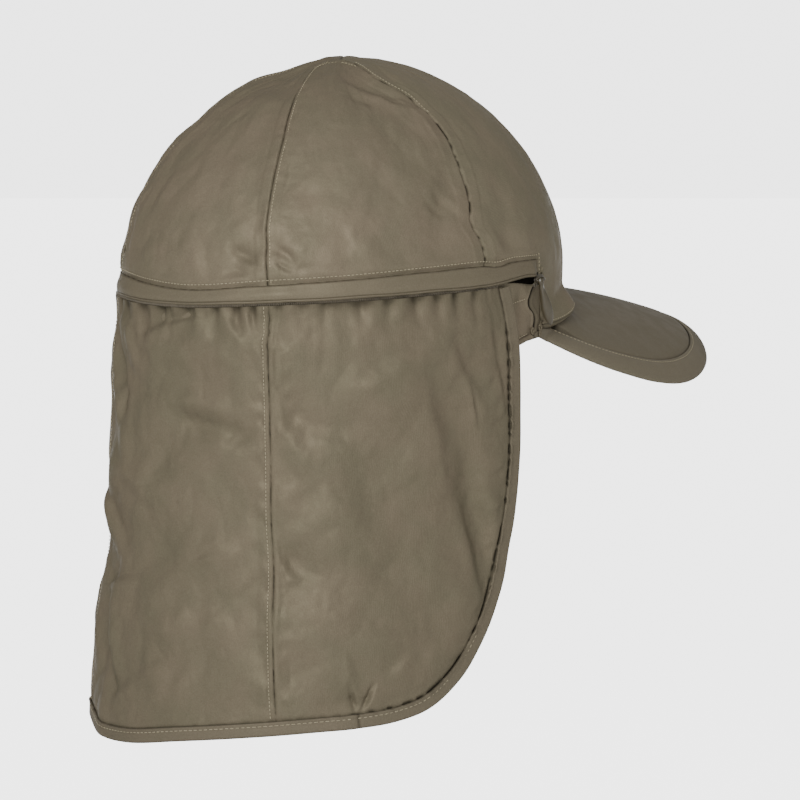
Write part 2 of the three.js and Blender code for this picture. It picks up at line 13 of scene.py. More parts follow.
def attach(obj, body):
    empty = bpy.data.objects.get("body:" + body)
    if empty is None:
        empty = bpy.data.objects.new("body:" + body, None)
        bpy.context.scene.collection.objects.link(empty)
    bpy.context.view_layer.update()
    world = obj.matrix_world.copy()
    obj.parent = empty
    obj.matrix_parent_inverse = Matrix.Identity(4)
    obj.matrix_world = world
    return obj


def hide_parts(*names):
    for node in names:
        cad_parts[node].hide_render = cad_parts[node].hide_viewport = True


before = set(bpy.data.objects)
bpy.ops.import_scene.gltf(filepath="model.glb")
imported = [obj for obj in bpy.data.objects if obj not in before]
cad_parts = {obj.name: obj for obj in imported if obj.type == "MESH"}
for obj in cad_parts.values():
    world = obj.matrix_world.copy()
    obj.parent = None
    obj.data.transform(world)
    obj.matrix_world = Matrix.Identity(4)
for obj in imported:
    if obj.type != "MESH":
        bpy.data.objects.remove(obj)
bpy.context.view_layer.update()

MM = 0.001

# Camera: the photograph's viewing angle, distance and framing
CAMERA_AZIMUTH = 223.0
CAMERA_ELEVATION = 2.7
CAMERA_DISTANCE = 2.2
CAMERA_TARGET = (-0.0176, -0.0164, -0.024)
METRES_ACROSS = 0.3388  # seen across the picture at the target


def direction(azimuth, elevation):
    """Unit vector towards a viewing angle in degrees."""
    turn = np.radians(azimuth)
    level = np.cos(np.radians(elevation))
    return Vector((np.sin(turn) * level, -np.cos(turn) * level, np.sin(np.radians(elevation))))


CAMERA_BACK = direction(CAMERA_AZIMUTH, CAMERA_ELEVATION)


def aimed(name, data, spot, back):
    """A camera or light at a spot, looking against the direction back."""
    piece = bpy.data.objects.new(name, data)
    bpy.context.scene.collection.objects.link(piece)
    piece.location = spot
    piece.rotation_mode = "QUATERNION"
    piece.rotation_quaternion = (-back).to_track_quat("-Z", "Y")
    return piece


def make_camera():
    data = bpy.data.cameras.new("camera")
    data.sensor_width = 36
    data.lens = 36 * CAMERA_DISTANCE / METRES_ACROSS
    data.clip_start = 0.05
    data.clip_end = 60
    spot = Vector(CAMERA_TARGET) + CAMERA_BACK * CAMERA_DISTANCE
    bpy.context.scene.camera = aimed("camera", data, spot, CAMERA_BACK)


make_camera()

# Sizes shared with the solids, in mm
CROWN_LENGTH = 206
CROWN_WIDTH = 167
CROWN_HEIGHT = 121
DOME_BASE = 35
DOME_FULLNESS = 1.7
FRONT_FULLNESS = 0.22
SEAM_SWING = 2
FRONT_SEAM = 31
SIDE_SEAM = 92.2
BACK_SEAM = 150.3
FRONT_FLARE = 3.6
FLARE_HEIGHT = 13
FLARE_FADE = 50
CROWN_STEP = 68
ZIP_START = 75
ZIP_HEIGHT = 4.2
ZIP_BELOW = 0.55
SEAM_GAP = 0.4

# Millimetres round the head for one degree: for the weave, the fine relief, the flap's flat
# outline and the right temple
WEAVE_DEGREE = 1.7
RELIEF_DEGREE = 1.65
FLAT_DEGREE = 1.72
TEMPLE_DEGREE = 1.9

# Thickness of the cloth, in mm
SHELL_THICKNESS = 0.9
GUARD_THICKNESS = 0.8
TAPE_THICKNESS = 0.6
FLAP_THICKNESS = 0.7
HEM_THICKNESS = 1.3

# angle, top, foot and zip line of the guard strip
GUARD_LINE = np.array([
    (70, 36.2, 31, 28.2),
    (82, 35.4, 27.7, 27.8),
    (92, 34.2, 25.4, 26.4),
    (107, 32.2, 23.6, 24.6),
    (129, 29, 21.2, 22.2),
    (151, 26.8, 19.6, 20.6),
    (174, 25, 18.6, 19.6),
    (190, 27.2, 19.6, 20.6),
    (203, 29.6, 21.2, 22.2),
    (230, 31.4, 23, 24),
    (268, 34.2, 25.4, 26.4),
    (290, 36.2, 28, 28.2),
])

PEAK_MIDDLE = 92.8
PEAK_HALF_WIDTH = 83.6
PEAK_REACH = 98.7
PEAK_ROUNDNESS = 2.33
PEAK_FRONT_Z = 25
PEAK_SLOPE = 6.8
PEAK_ARCH_RADIUS = 120.6
PEAK_ARCH_TIGHTENING = 0.19
PEAK_DIP_DEPTH = 4.4
PEAK_DIP_FROM = -130
PEAK_DIP_OVER = 60
PEAK_END_Y = -42
PEAK_THICKNESS = 4.4
PEAK_BINDING = 7.2

FLAP_SEAM = 149
FLAP_SEAM_SWING = -3
HEM_WIDTH = 6

# level and angle of the flap's side outline: level is 1 at the hem and -1 at the zip
FLAP_SIDE = np.array([
    (1, 130), (0.985, 119), (0.957, 111), (0.882, 102.6), (0.784, 96), (0.654, 90.1), (0.523, 86.7),
    (0.42, 84.4), (0.28, 82.8), (0.1, 82.6), (-0.2, 82.8), (-0.6, 83.4), (-0.85, 84), (-1, 84.4),
])
# angle and z of the hem
HEM_LINE = np.array([
    (118, -152.8), (130, -153), (148, -155.3), (169, -158.3), (190, -161.2), (202, -160),
    (212, -155), (230, -153), (242, -152.8),
])
# depth below the zip, and how far the side and the back stand off the wall there
FLAP_FLARE = np.array([
    (0, 1.5, 0.9),
    (14, 3.5, 2.8),
    (60, 5, 4.6),
    (105, 5.6, 6.5),
    (130, 6.4, 10.2),
    (185, 8, 14),
])
# Broad folds and dents: angle, z, size across, size along, lean in degrees and height
FLAP_FOLDS = [
    (172, 0, 7, 26, 97, 1.6),
    (171, -17, 7, 24, 99, -1.6),
    (205, -52, 9, 30, 24, 1.6),
    (220, 12, 9, 11, 0, -1.7),
    (219, -66, 9, 12, 0, -2.6),
    (219, -82, 12, 17, 20, -3.6),
    (199, -128, 6, 34, 4, 1.8),
    (170, -98, 12, 26, 60, 1.6),
    (99, -46, 7, 34, -8, -1.8),
    (118, -20, 18, 24, -35, 1.6),
    (126, -96, 16, 26, 40, -1.6),
    (246, -44, 10, 38, 10, 2.2),
    (262, -60, 8, 34, -12, -2),
    (240, -108, 18, 22, -40, -1.8),
]
CROWN_DENTS = [
    (155, 40, 4, 12, 60, -1.4),
    (146, 38, 4, 12, -55, -1.2),
    (100, 64, 6, 20, 30, -1.2),
    (82, 46, 6, 12, 0, -1),
    (204, 78, 34, 26, 0, 1.2),
    (223, 96, 30, 14, 0, -2),
    (217, 42, 16, 14, 0, -0.9),
    (38, 66, 36, 30, 0, 0.3),
    (322, 66, 36, 30, 0, 1.4),
]


# General helpers

def ease(x):
    x = np.clip(x, 0, 1)
    return x * x * (3 - 2 * x)


def mix(a, b, share):
    return a + (b - a) * share


def bell(x):
    return np.exp(-x * x)


def spline(xs, ys, x):
    """A smooth curve through the points of a short table."""
    xs = np.asarray(xs, float)
    ys = np.asarray(ys, float)
    x = np.clip(x, xs[0], xs[-1])
    slopes = np.gradient(ys, xs)
    i = np.clip(np.searchsorted(xs, x) - 1, 0, len(xs) - 2)
    step = xs[i + 1] - xs[i]
    t = (x - xs[i]) / step
    return (
        (2 * t**3 - 3 * t**2 + 1) * ys[i]
        + (t**3 - 2 * t**2 + t) * step * slopes[i]
        + (3 * t**2 - 2 * t**3) * ys[i + 1]
        + (t**3 - t**2) * step * slopes[i + 1]
    )


LATTICE = 128


def noise(seed, u, v):
    """Smooth noise from -1 to 1 with one cell for each unit of u and v."""
    values = np.random.default_rng(seed % 997).uniform(-1, 1, (LATTICE, LATTICE))
    u, v = np.broadcast_arrays(np.asarray(u, float), np.asarray(v, float))
    iu = np.floor(u).astype(int)
    iv = np.floor(v).astype(int)
    fu = ease(u - iu)
    fv = ease(v - iv)

    def at(a, b):
        return values[a % LATTICE, b % LATTICE]

    low = mix(at(iu, iv), at(iu + 1, iv), fu)
    high = mix(at(iu, iv + 1), at(iu + 1, iv + 1), fu)
    return mix(low, high, fv)


def crumple(seed, u, v):
    """Flat facets that meet in sharp lines, as thin nylon creases."""
    warp = 0.35 * noise(seed + 7, u * 0.7, v * 0.7)
    broad = np.abs(noise(seed, u * 0.82 + v * 0.57 + warp, v * 0.82 - u * 0.57))
    middle = np.abs(noise(seed + 1, u * 1.3 - v * 1.5, v * 1.3 + u * 1.5 + warp))
    fine = np.abs(noise(seed + 2, u * 3.4 + v * 1.6, v * 3.4 - u * 1.6))
    return broad + 0.42 * middle + 0.16 * fine - 0.62


def per_degree(angle):
    """Millimetres along the upright wall for one degree."""
    turn = np.radians(angle)
    return np.radians(np.hypot(CROWN_WIDTH / 2 * np.cos(turn), CROWN_LENGTH / 2 * np.sin(turn)))


def folds_at(folds, angle, z):
    """How far a table of broad folds lifts the cloth at a place."""
    out = 0.0
    for fold_angle, fold_z, across_size, along_size, lean, height in folds:
        aside = (angle - fold_angle) * per_degree(fold_angle)
        down = fold_z - z
        turn = np.radians(lean)
        across = (aside * np.cos(turn) - down * np.sin(turn)) / across_size
        along = (aside * np.sin(turn) + down * np.cos(turn)) / along_size
        out = out + height * np.exp(-across * across - along * along)
    return out


def crease(angle, z, start, end, width, height, one_sided):
    """A crease between two places (angle, z). one_sided lifts the cloth on one side only."""
    scale = per_degree((start[0] + end[0]) / 2)
    run = np.array([(end[0] - start[0]) * scale, end[1] - start[1]])
    length = np.hypot(*run)
    run = run / length
    aside = (angle - start[0]) * scale
    rise = z - start[1]
    along = (aside * run[0] + rise * run[1]) / length
    across = (aside * -run[1] + rise * run[0]) / width
    taper = np.sin(np.pi * np.clip(along, 0, 1)) ** 0.8
    bent = across + 0.35 * np.sin(along * 5.1 + start[0])
    ridge = bell(bent)
    step = np.tanh(bent) * bell(bent / 3.2)
    return height * taper * mix(ridge, step, one_sided)


# The crown's wall, and what stands off it

def wall(angle, z, out=0.0):
    angle, z, out = np.broadcast_arrays(
        np.asarray(angle, float), np.asarray(z, float), np.asarray(out, float)
    )
    rise = np.clip((z - DOME_BASE) / (CROWN_HEIGHT - DOME_BASE), 0, 1)
    fullness = DOME_FULLNESS + FRONT_FULLNESS * np.cos(np.radians(angle))
    shrink = np.sqrt(np.maximum(1 - rise**fullness, 0))
    turned = np.radians(angle + SEAM_SWING * np.sin(np.radians(angle)) * (1 - shrink))
    return np.stack(
        [
            -(CROWN_WIDTH / 2 * shrink + out) * np.sin(turned),
            -(CROWN_LENGTH / 2 * shrink + out) * np.cos(turned),
            z,
        ],
        -1,
    )


def guard(column, angle):
    return spline(GUARD_LINE[:, 0], GUARD_LINE[:, column], angle)


def guard_top(angle):
    return guard(1, angle)


def guard_foot(angle):
    return guard(2, angle)


def zip_z(angle):
    return guard(3, angle)


def wrapped(angle):
    return np.where(angle > 180, angle - 360, angle)


def front_flare(angle):
    fade = (np.abs(wrapped(angle)) - FLARE_FADE) / (CROWN_STEP - FLARE_FADE)
    return FRONT_FLARE * (1 - ease(fade))


def peak_z(x, y):
    """Height of the peak's upper face: a slope with an arch across it and a dip to its tip."""
    slope = np.radians(PEAK_SLOPE)
    radius = PEAK_ARCH_RADIUS - PEAK_ARCH_TIGHTENING * (PEAK_END_Y - y)
    sag = (radius - np.sqrt(radius**2 - x * x)) / np.cos(slope)
    dip = PEAK_DIP_DEPTH * np.maximum((PEAK_DIP_FROM - y) / PEAK_DIP_OVER, 0) ** 2
    return PEAK_FRONT_Z + np.tan(slope) * (y + CROWN_LENGTH / 2) - sag - dip


def temple_rise(angle):
    """How far the peak's cloth rides up the crown near the right temple."""
    side = wrapped(angle)
    return 3.9 * ease((side - 38) / 11) * (1 - 0.8 * ease((side - 48) / 18))


def crown_flare(angle, up):
    """How far the crown stands out over the peak, at a height above its foot."""
    side = wrapped(angle)
    puffed = ease((side - 36) / 8) * (side < CROWN_STEP)
    temple = 2.4 * bell((side - 51) / 12) * (side < CROWN_STEP)
    fade = 1 - ease((up - 2 * puffed) / (FLARE_HEIGHT - 2.5 * puffed))
    tucked = 2.4 * puffed * (1 - ease(up / 2.2))
    return (front_flare(angle) + temple) * fade - tucked


def crown_foot(angle):
    """The crown's lowest edge: on the peak in front, and on the zip round the back."""
    inner = wall(angle, 0, front_flare(angle) - 1.2)
    on_peak = peak_z(inner[..., 0], inner[..., 1]) + 0.2 + temple_rise(angle)
    return np.where(np.abs(wrapped(angle)) < CROWN_STEP, on_peak, zip_z(angle) + 0.2)


# Meshes

def normals_of(grid):
    along = np.gradient(grid, axis=0)
    across = np.gradient(grid, axis=1)
    normal = np.cross(along, across)
    size = np.linalg.norm(normal, axis=-1, keepdims=True)
    return normal / np.maximum(size, 1e-9)


def outward(grid):
    normal = normals_of(grid)
    middle = grid.reshape(-1, 3).mean(0)
    away = normal * np.array([middle[0], middle[1], middle[2] * 0.2 + 8])
    return normal if away.sum() > 0 else -normal


def shaded_object(name, mesh, painted_shade, material):
    """A smooth piece with one material, and a painted shade value for each point."""
    mesh.polygons.foreach_set("use_smooth", [True] * len(mesh.polygons))
    attribute = mesh.attributes.new("painted_shade", "FLOAT", "POINT")
    attribute.data.foreach_set("value", np.asarray(painted_shade, np.float32).ravel())
    mesh.materials.append(material)
    piece = bpy.data.objects.new(name, mesh)
    bpy.context.scene.collection.objects.link(piece)
    return piece


def new_object(name, points, faces, material, uv=None, painted_shade=None, sharp=40):
    """A piece from points in mm. uv and the painted shade give one value for each point."""
    mesh = bpy.data.meshes.new(name)
    mesh.from_pydata((np.asarray(points) * MM).tolist(), [], [list(face) for face in faces])
    mesh.validate()
    corners = np.zeros(len(mesh.loops), int)
    mesh.loops.foreach_get("vertex_index", corners)
    if uv is not None:
        layer = mesh.uv_layers.new(name="cloth")
        layer.data.foreach_set("uv", (np.asarray(uv)[corners] * 0.1).astype(np.float32).ravel())
    piece = shaded_object(name, mesh, np.zeros(len(mesh.vertices)) if painted_shade is None else painted_shade, material)
    mesh.set_sharp_from_angle(angle=np.radians(sharp))
    return piece


def cloth_uv(angle, z):
    return np.stack(np.broadcast_arrays(angle * WEAVE_DEGREE, z), -1)


def grid_faces(rows, cols, start, flip=False, wrap=False):
    last = cols if wrap else cols - 1
    row, col = np.meshgrid(np.arange(rows - 1), np.arange(last), indexing="ij")
    beside = (col + 1) % cols
    quads = np.stack(
        [row * cols + col, row * cols + beside, (row + 1) * cols + beside, (row + 1) * cols + col],
        -1,
    ).reshape(-1, 4) + start
    return quads[:, ::-1] if flip else quads


def border_faces(rows, cols):
    """Faces that join the border of a grid to the border of the grid behind it."""
    ring = np.concatenate([
        np.arange(cols),
        np.arange(1, rows) * cols + cols - 1,
        (rows - 1) * cols + np.arange(cols - 2, -1, -1),
        np.arange(rows - 2, 0, -1) * cols,
    ])
    following = np.roll(ring, -1)
    count = rows * cols
    return np.stack([ring, following, following + count, ring + count], -1)


def cloth(name, grid, thickness, material, painted_shade, uv):
    """Cloth from a grid of points of its outside, closed all round its border."""
    rows, cols = grid.shape[:2]
    normal = outward(grid)
    facing = (normals_of(grid) * normal).sum() > 0
    points = np.concatenate([grid.reshape(-1, 3), (grid - normal * thickness).reshape(-1, 3)])
    rim = border_faces(rows, cols)
    faces = np.concatenate([
        grid_faces(rows, cols, 0, not facing),
        grid_faces(rows, cols, rows * cols, facing),
        rim[:, ::-1] if facing else rim,
    ])
    uv = np.concatenate([uv.reshape(-1, 2)] * 2)
    painted_shade = np.clip(np.concatenate([painted_shade.ravel()] * 2), 0, 1)
    return new_object(name, points, faces, material, uv, painted_shade)


def capped_faces(rows, cols):
    """Faces of rings of points that follow each other, with a cap at each end."""
    faces = grid_faces(rows, cols, 0, wrap=True).tolist()
    faces.append(list(range(cols)))
    faces.append([(rows - 1) * cols + i for i in range(cols - 1, -1, -1)])
    return faces


def rod(path, radii, sides, up=None):
    """Points and faces of a closed round rod along a path of points."""
    tangent = np.gradient(path, axis=0)
    tangent /= np.maximum(np.linalg.norm(tangent, axis=1, keepdims=True), 1e-9)
    up = np.array([0.31, 0.22, 0.93]) if up is None else np.asarray(up)
    side = np.cross(tangent, up)
    side /= np.maximum(np.linalg.norm(side, axis=1, keepdims=True), 1e-9)
    rise = np.cross(side, tangent)
    turn = np.arange(sides) * 2 * np.pi / sides
    rings = (
        path[:, None]
        + radii[:, None, None] * np.cos(turn)[None, :, None] * side[:, None]
        + radii[:, None, None] * np.sin(turn)[None, :, None] * rise[:, None]
    )
    return rings.reshape(-1, 3), capped_faces(len(path), sides)


# Materials

WEAR = 0.1


def new_material(name):
    """A material with its nodes, its links, its shader and the cloth's own coordinates."""
    material = bpy.data.materials.new(name)
    material.use_nodes = True
    nodes = material.node_tree.nodes
    place = nodes.new("ShaderNodeTexCoord").outputs["Object"]
    return material, nodes, material.node_tree.links, nodes["Principled BSDF"], place


def set_inputs(node, values):
    for key, value in values.items():
        node.inputs[key].default_value = value
    return node


def noise_node(nodes, links, place, scale, detail, roughness=0.5):
    node = nodes.new("ShaderNodeTexNoise")
    set_inputs(node, {"Scale": scale, "Detail": detail, "Roughness": roughness})
    links.new(place, node.inputs["Vector"])
    return node.outputs["Fac"]


def colour_ramp(nodes, links, source, low, high, low_at, high_at):
    node = nodes.new("ShaderNodeValToRGB")
    for element, position, colour in zip(node.color_ramp.elements, (low_at, high_at), (low, high)):
        element.position = position
        element.color = (*colour, 1)
    links.new(source, node.inputs["Fac"])
    return node.outputs["Color"]


def bump_node(nodes, links, height, strength, distance):
    node = nodes.new("ShaderNodeBump")
    set_inputs(node, {"Strength": strength, "Distance": distance})
    links.new(height, node.inputs["Height"])
    return node


def cloth_material(
    name, colour, roughness=0.52, mottle=1.0, weave=1.0, soft_size=0.75, satin=0.26
):
    """Thin nylon: fine weave, faint warm and green patches, and painted shade from the shade attribute that
    darkens seams, gaps and gathers.
    """
    material, nodes, links, shader, place = new_material(name)
    set_inputs(shader, {
        "Specular IOR Level": 0.03,
        "Metallic": satin,
        "Specular Tint": (0.2, 0.2, 0.2, 1),
    })

    def scaled(factor, tint):
        return [min(c * factor * t, 1) for c, t in zip(colour, tint)]

    swing = 0.03 * mottle
    warm = scaled(1 + swing, (1 + 0.45 * swing, 1 - 0.1 * swing, 1 + 0.1 * swing))
    green = scaled(1 - swing, (1 - 0.5 * swing, 1 + 0.35 * swing, 1 - 0.1 * swing))
    patches = colour_ramp(nodes, links, noise_node(nodes, links, place, 52, 3), green, warm, 0.38, 0.62)
    fine = noise_node(nodes, links, place, 1900, 2)
    fine = colour_ramp(nodes, links, fine, [0.93] * 3, [1.06] * 3, 0.35, 0.65)
    speckled = nodes.new("ShaderNodeMix")
    speckled.data_type = "RGBA"
    speckled.blend_type = "MULTIPLY"
    speckled.inputs["Factor"].default_value = 1
    links.new(patches, speckled.inputs[6])
    links.new(fine, speckled.inputs[7])
    # Painted shade: the shade attribute mixes the colour towards near black where shade falls in seams,
    # gaps and folds
    dark = nodes.new("ShaderNodeMix")
    dark.data_type = "RGBA"
    dark.inputs[7].default_value = (*[c * 0.06 for c in colour], 1)
    attribute = nodes.new("ShaderNodeAttribute")
    attribute.attribute_name = "painted_shade"
    links.new(attribute.outputs["Fac"], dark.inputs["Factor"])
    links.new(speckled.outputs[2], dark.inputs[6])
    links.new(dark.outputs[2], shader.inputs["Base Color"])
    rough = noise_node(nodes, links, place, 160, 2)
    rough = colour_ramp(nodes, links, rough, [roughness - 0.05] * 3, [roughness + 0.06] * 3, 0.35, 0.65)
    links.new(rough, shader.inputs["Roughness"])
    threads = nodes.new("ShaderNodeTexWave")
    set_inputs(threads, {"Scale": 700, "Distortion": 1.5, "Detail": 1})
    links.new(place, threads.inputs["Vector"])
    height = nodes.new("ShaderNodeMath")
    height.operation = "ADD"
    links.new(threads.outputs["Fac"], height.inputs[0])
    links.new(noise_node(nodes, links, place, 1500, 3), height.inputs[1])
    bump = bump_node(nodes, links, height.outputs[0], 0.16 * weave, 0.00012)
    soft = bump_node(nodes, links, noise_node(nodes, links, place, 62, 3, 0.45), soft_size, 0.002)
    links.new(bump.outputs["Normal"], soft.inputs["Normal"])
    links.new(soft.outputs["Normal"], shader.inputs["Normal"])
    return material


def hard_material(name, colour, roughness, coat=0.0):
    """Paint or moulded plastic with faint wear."""
    material, nodes, links, shader, place = new_material(name)
    set_inputs(shader, {"Metallic": 0, "Coat Weight": coat, "Coat Roughness": 0.12})
    grain = noise_node(nodes, links, place, 420, 3)
    worn = [c * (1 - WEAR) for c in colour]
    bright = [min(c * (1 + WEAR), 1) for c in colour]
    links.new(colour_ramp(nodes, links, grain, worn, bright, 0.3, 0.7), shader.inputs["Base Color"])
    rough = nodes.new("ShaderNodeMapRange")
    set_inputs(rough, {"To Min": roughness - 0.06, "To Max": roughness + 0.08})
    links.new(grain, rough.inputs["Value"])
    links.new(rough.outputs["Result"], shader.inputs["Roughness"])
    bump = bump_node(nodes, links, grain, 0.08, 0.0001)
    links.new(bump.outputs["Normal"], shader.inputs["Normal"])
    return material


def srgb(red, green, blue):
    values = np.array([red, green, blue]) / 255
    return tuple(np.where(values < 0.04045, values / 12.92, ((values + 0.055) / 1.055) ** 2.4))


SHELL = cloth_material("shell_nylon", srgb(118, 109, 92))
CALM_SHELL = cloth_material("shell_nylon_calm", srgb(121, 113, 95), soft_size=0.4)
FLAP = cloth_material("flap_nylon", srgb(113, 105, 88))
GUARD = cloth_material("guard_nylon", srgb(115, 107, 90), mottle=0.3, soft_size=0.25)
PEAK = cloth_material(
    "peak_nylon", srgb(108, 101, 86), mottle=0.2, soft_size=0.02, weave=0.0, satin=0.1
)
EDGE = cloth_material(
    "peak_edge_nylon", srgb(115, 108, 92), mottle=0.2, soft_size=0.05, weave=0.1, satin=0.1
)
HEM = cloth_material("hem_nylon", srgb(113, 105, 89), mottle=0.5, soft_size=0.2)
TAPE = cloth_material("zip_tape_weave", srgb(60, 54, 43), mottle=0.3, weave=2, satin=0.0, roughness=0.8)
THREAD = cloth_material("thread", srgb(176, 166, 140), mottle=0.2, satin=0.1)
TEETH = hard_material("zip_coil", srgb(92, 84, 68), 0.5)
SLIDER = hard_material("slider_paint", srgb(72, 66, 52), 0.42, coat=0.15)
PULLER = hard_material("puller_gloss", srgb(72, 65, 48), 0.32, coat=0.2)


# Crown

UPRIGHT_ROWS = 26
FOOT_ROWS = 14
FOOT_BAND = 4.0


# z and angle of the right side's seams, with the jogs of the photograph
SIDE_SEAM_LINE = np.array([
    (24, 91.7), (37.5, 91.6), (43, 92.1), (46, 93), (49.5, 94.3), (53, 94.7), (57, 94), (61, 93.4),
    (73, 92.9), (86, 92.2), (91, 92.9), (96, 93.8), (99, 96.4), (102.5, 97.4), (105, 98.6),
    (108.5, 104), (112.5, 109.4), (116.5, 113.6), (118, 117), (119, 125), (119.5, 134), (121, 134),
])
BACK_SEAM_LINE = np.array([
    (18, 149.6), (28, 149.5), (37, 150), (49.5, 150.7), (61.5, 150.8), (86, 150.9), (98, 152.4),
    (106, 153.8), (111.5, 154.8), (116, 156.4), (118, 153), (119, 144), (119.5, 134), (121, 134),
])


def seam_angle(seam, z):
    """A crown seam's angle at a height."""
    line = {SIDE_SEAM: SIDE_SEAM_LINE, BACK_SEAM: BACK_SEAM_LINE}.get(seam)
    if line is None:
        return seam + 0 * z
    reach = np.clip((119 - z) / 20, 0.1, 0.9)
    below = np.interp(z - reach, line[:, 0], line[:, 1])
    above = np.interp(z + reach, line[:, 0], line[:, 1])
    return (below + above) / 2


def seam_profile(distance):
    """Height of cloth beside a sewn seam, at a distance in mm from it."""
    valley = -0.45 * bell(distance / 0.38)
    allowance = 0.24 * ease((distance - 0.3) / 0.8) * (1 - ease((distance - 4.6) / 1.6))
    return valley + allowance


def seam_puckers(seed, along, distance, size=1.0, pitch=4.2, reach=7.0):
    """Short wrinkles that run away from a seam."""
    wave = noise(seed, along / pitch, distance / 9)
    finer = noise(seed + 1, along / (pitch * 0.45), distance / 5)
    strength = 0.55 + 0.45 * noise(seed + 2, along / 26, 0)
    fade = bell(distance / reach)
    return size * strength * fade * (0.34 * wave + 0.12 * finer * bell(distance / 3))


# Creases of the crown: start (angle, z), end (angle, z), width, height, one-sidedness
CROWN_CREASES = [
    # creases below the top at the right
    ((133, 112), (108, 103), 1.3, 0.7, 0.8),
    ((120, 108), (98, 97.5), 1.1, 0.7, 0.7),
    ((112, 106), (97, 99), 0.9, 0.5, 0.5),
    ((128, 103), (112, 100), 1.4, 0.5, 0.8),
    # leaf-shaped puckers beside the back seam
    ((161, 44), (151.5, 34), 2.0, -0.9, 0),
    ((159, 34), (152, 27.5), 1.5, -0.6, 0),
    ((149, 44), (142, 35), 2.0, -0.9, 0),
    ((148, 38), (143, 31), 1.4, -0.6, 0),
    ((152.5, 62), (151, 46), 2.6, -0.5, 0),
    # beside the side seam
    ((104, 66), (97, 52), 2.4, -0.8, 0.3),
    ((108, 60), (100, 55), 1.8, -0.5, 0),
    ((90, 50), (80, 36), 3.2, 0.9, 0.6),
    ((84, 52), (70, 49), 3.4, 0.7, 0.8),
    ((80, 44), (74, 37), 2.2, -0.6, 0.5),
    ((130, 36), (122, 29), 2.6, -0.5, 0.5),
    ((176, 46), (166, 28), 3.4, 0.8, 0.7),
]


def crown_detail(angle, z):
    """Soft unevenness of the crown's cloth, in mm along its normal."""
    arc = angle * RELIEF_DEGREE
    out = 1.1 * noise(11, arc / 38, z / 31)
    out = out + 1.7 * crumple(12, arc / 30, z / 35)
    out = out + 0.6 * crumple(16, (arc + 0.5 * z) / 13, (z - 0.4 * arc) / 16)
    out = out + 0.28 * noise(15, (arc + 0.4 * z) / 13, (z - 0.3 * arc) / 17)
    creases = 0.0
    for values in CROWN_CREASES:
        creases = creases + crease(angle, z, *values)
    return out + 1.7 * creases


def crown_heights(angle, rows):
    """Heights of the crown's rows: close at the foot, even up the wall, then over the dome."""
    foot = crown_foot(angle)
    first = foot + np.linspace(0, FOOT_BAND, FOOT_ROWS)[:, None]
    upright = mix(foot + FOOT_BAND, DOME_BASE, np.linspace(0, 1, UPRIGHT_ROWS)[1:, None])
    turn = np.linspace(0, np.arccos(0.35 / (CROWN_LENGTH / 2)), rows)[1:]
    rise = np.sin(turn) ** (2 / DOME_FULLNESS)
    dome = mix(DOME_BASE, CROWN_HEIGHT, rise)[:, None] + 0 * angle
    return np.concatenate([first, upright, dome])


def top_hollow(grid):
    """The back panel sags just below the top, so the seam beside it stands up."""
    to_right = -0.731 * grid[..., 0] - 0.682 * grid[..., 1]
    near_top = ease((grid[..., 2] - 100) / 10)
    return 2.5 * near_top * bell((to_right + 24) / 12)


def crown_dents(angle, z):
    """The crown's broad dents, fading out towards its foot."""
    return folds_at(CROWN_DENTS, angle, z) * ease((z - crown_foot(angle)) / FLARE_HEIGHT)


def seam_dashes(seam, z, plain, plain_width):
    """How much painted shade a crown seam's line has along its height, and its width in mm."""
    if seam == SIDE_SEAM:
        return np.clip(0.6 + 0.9 * noise(23, z / 1.2, 0), 0.15, 1), 0.5
    return plain, plain_width


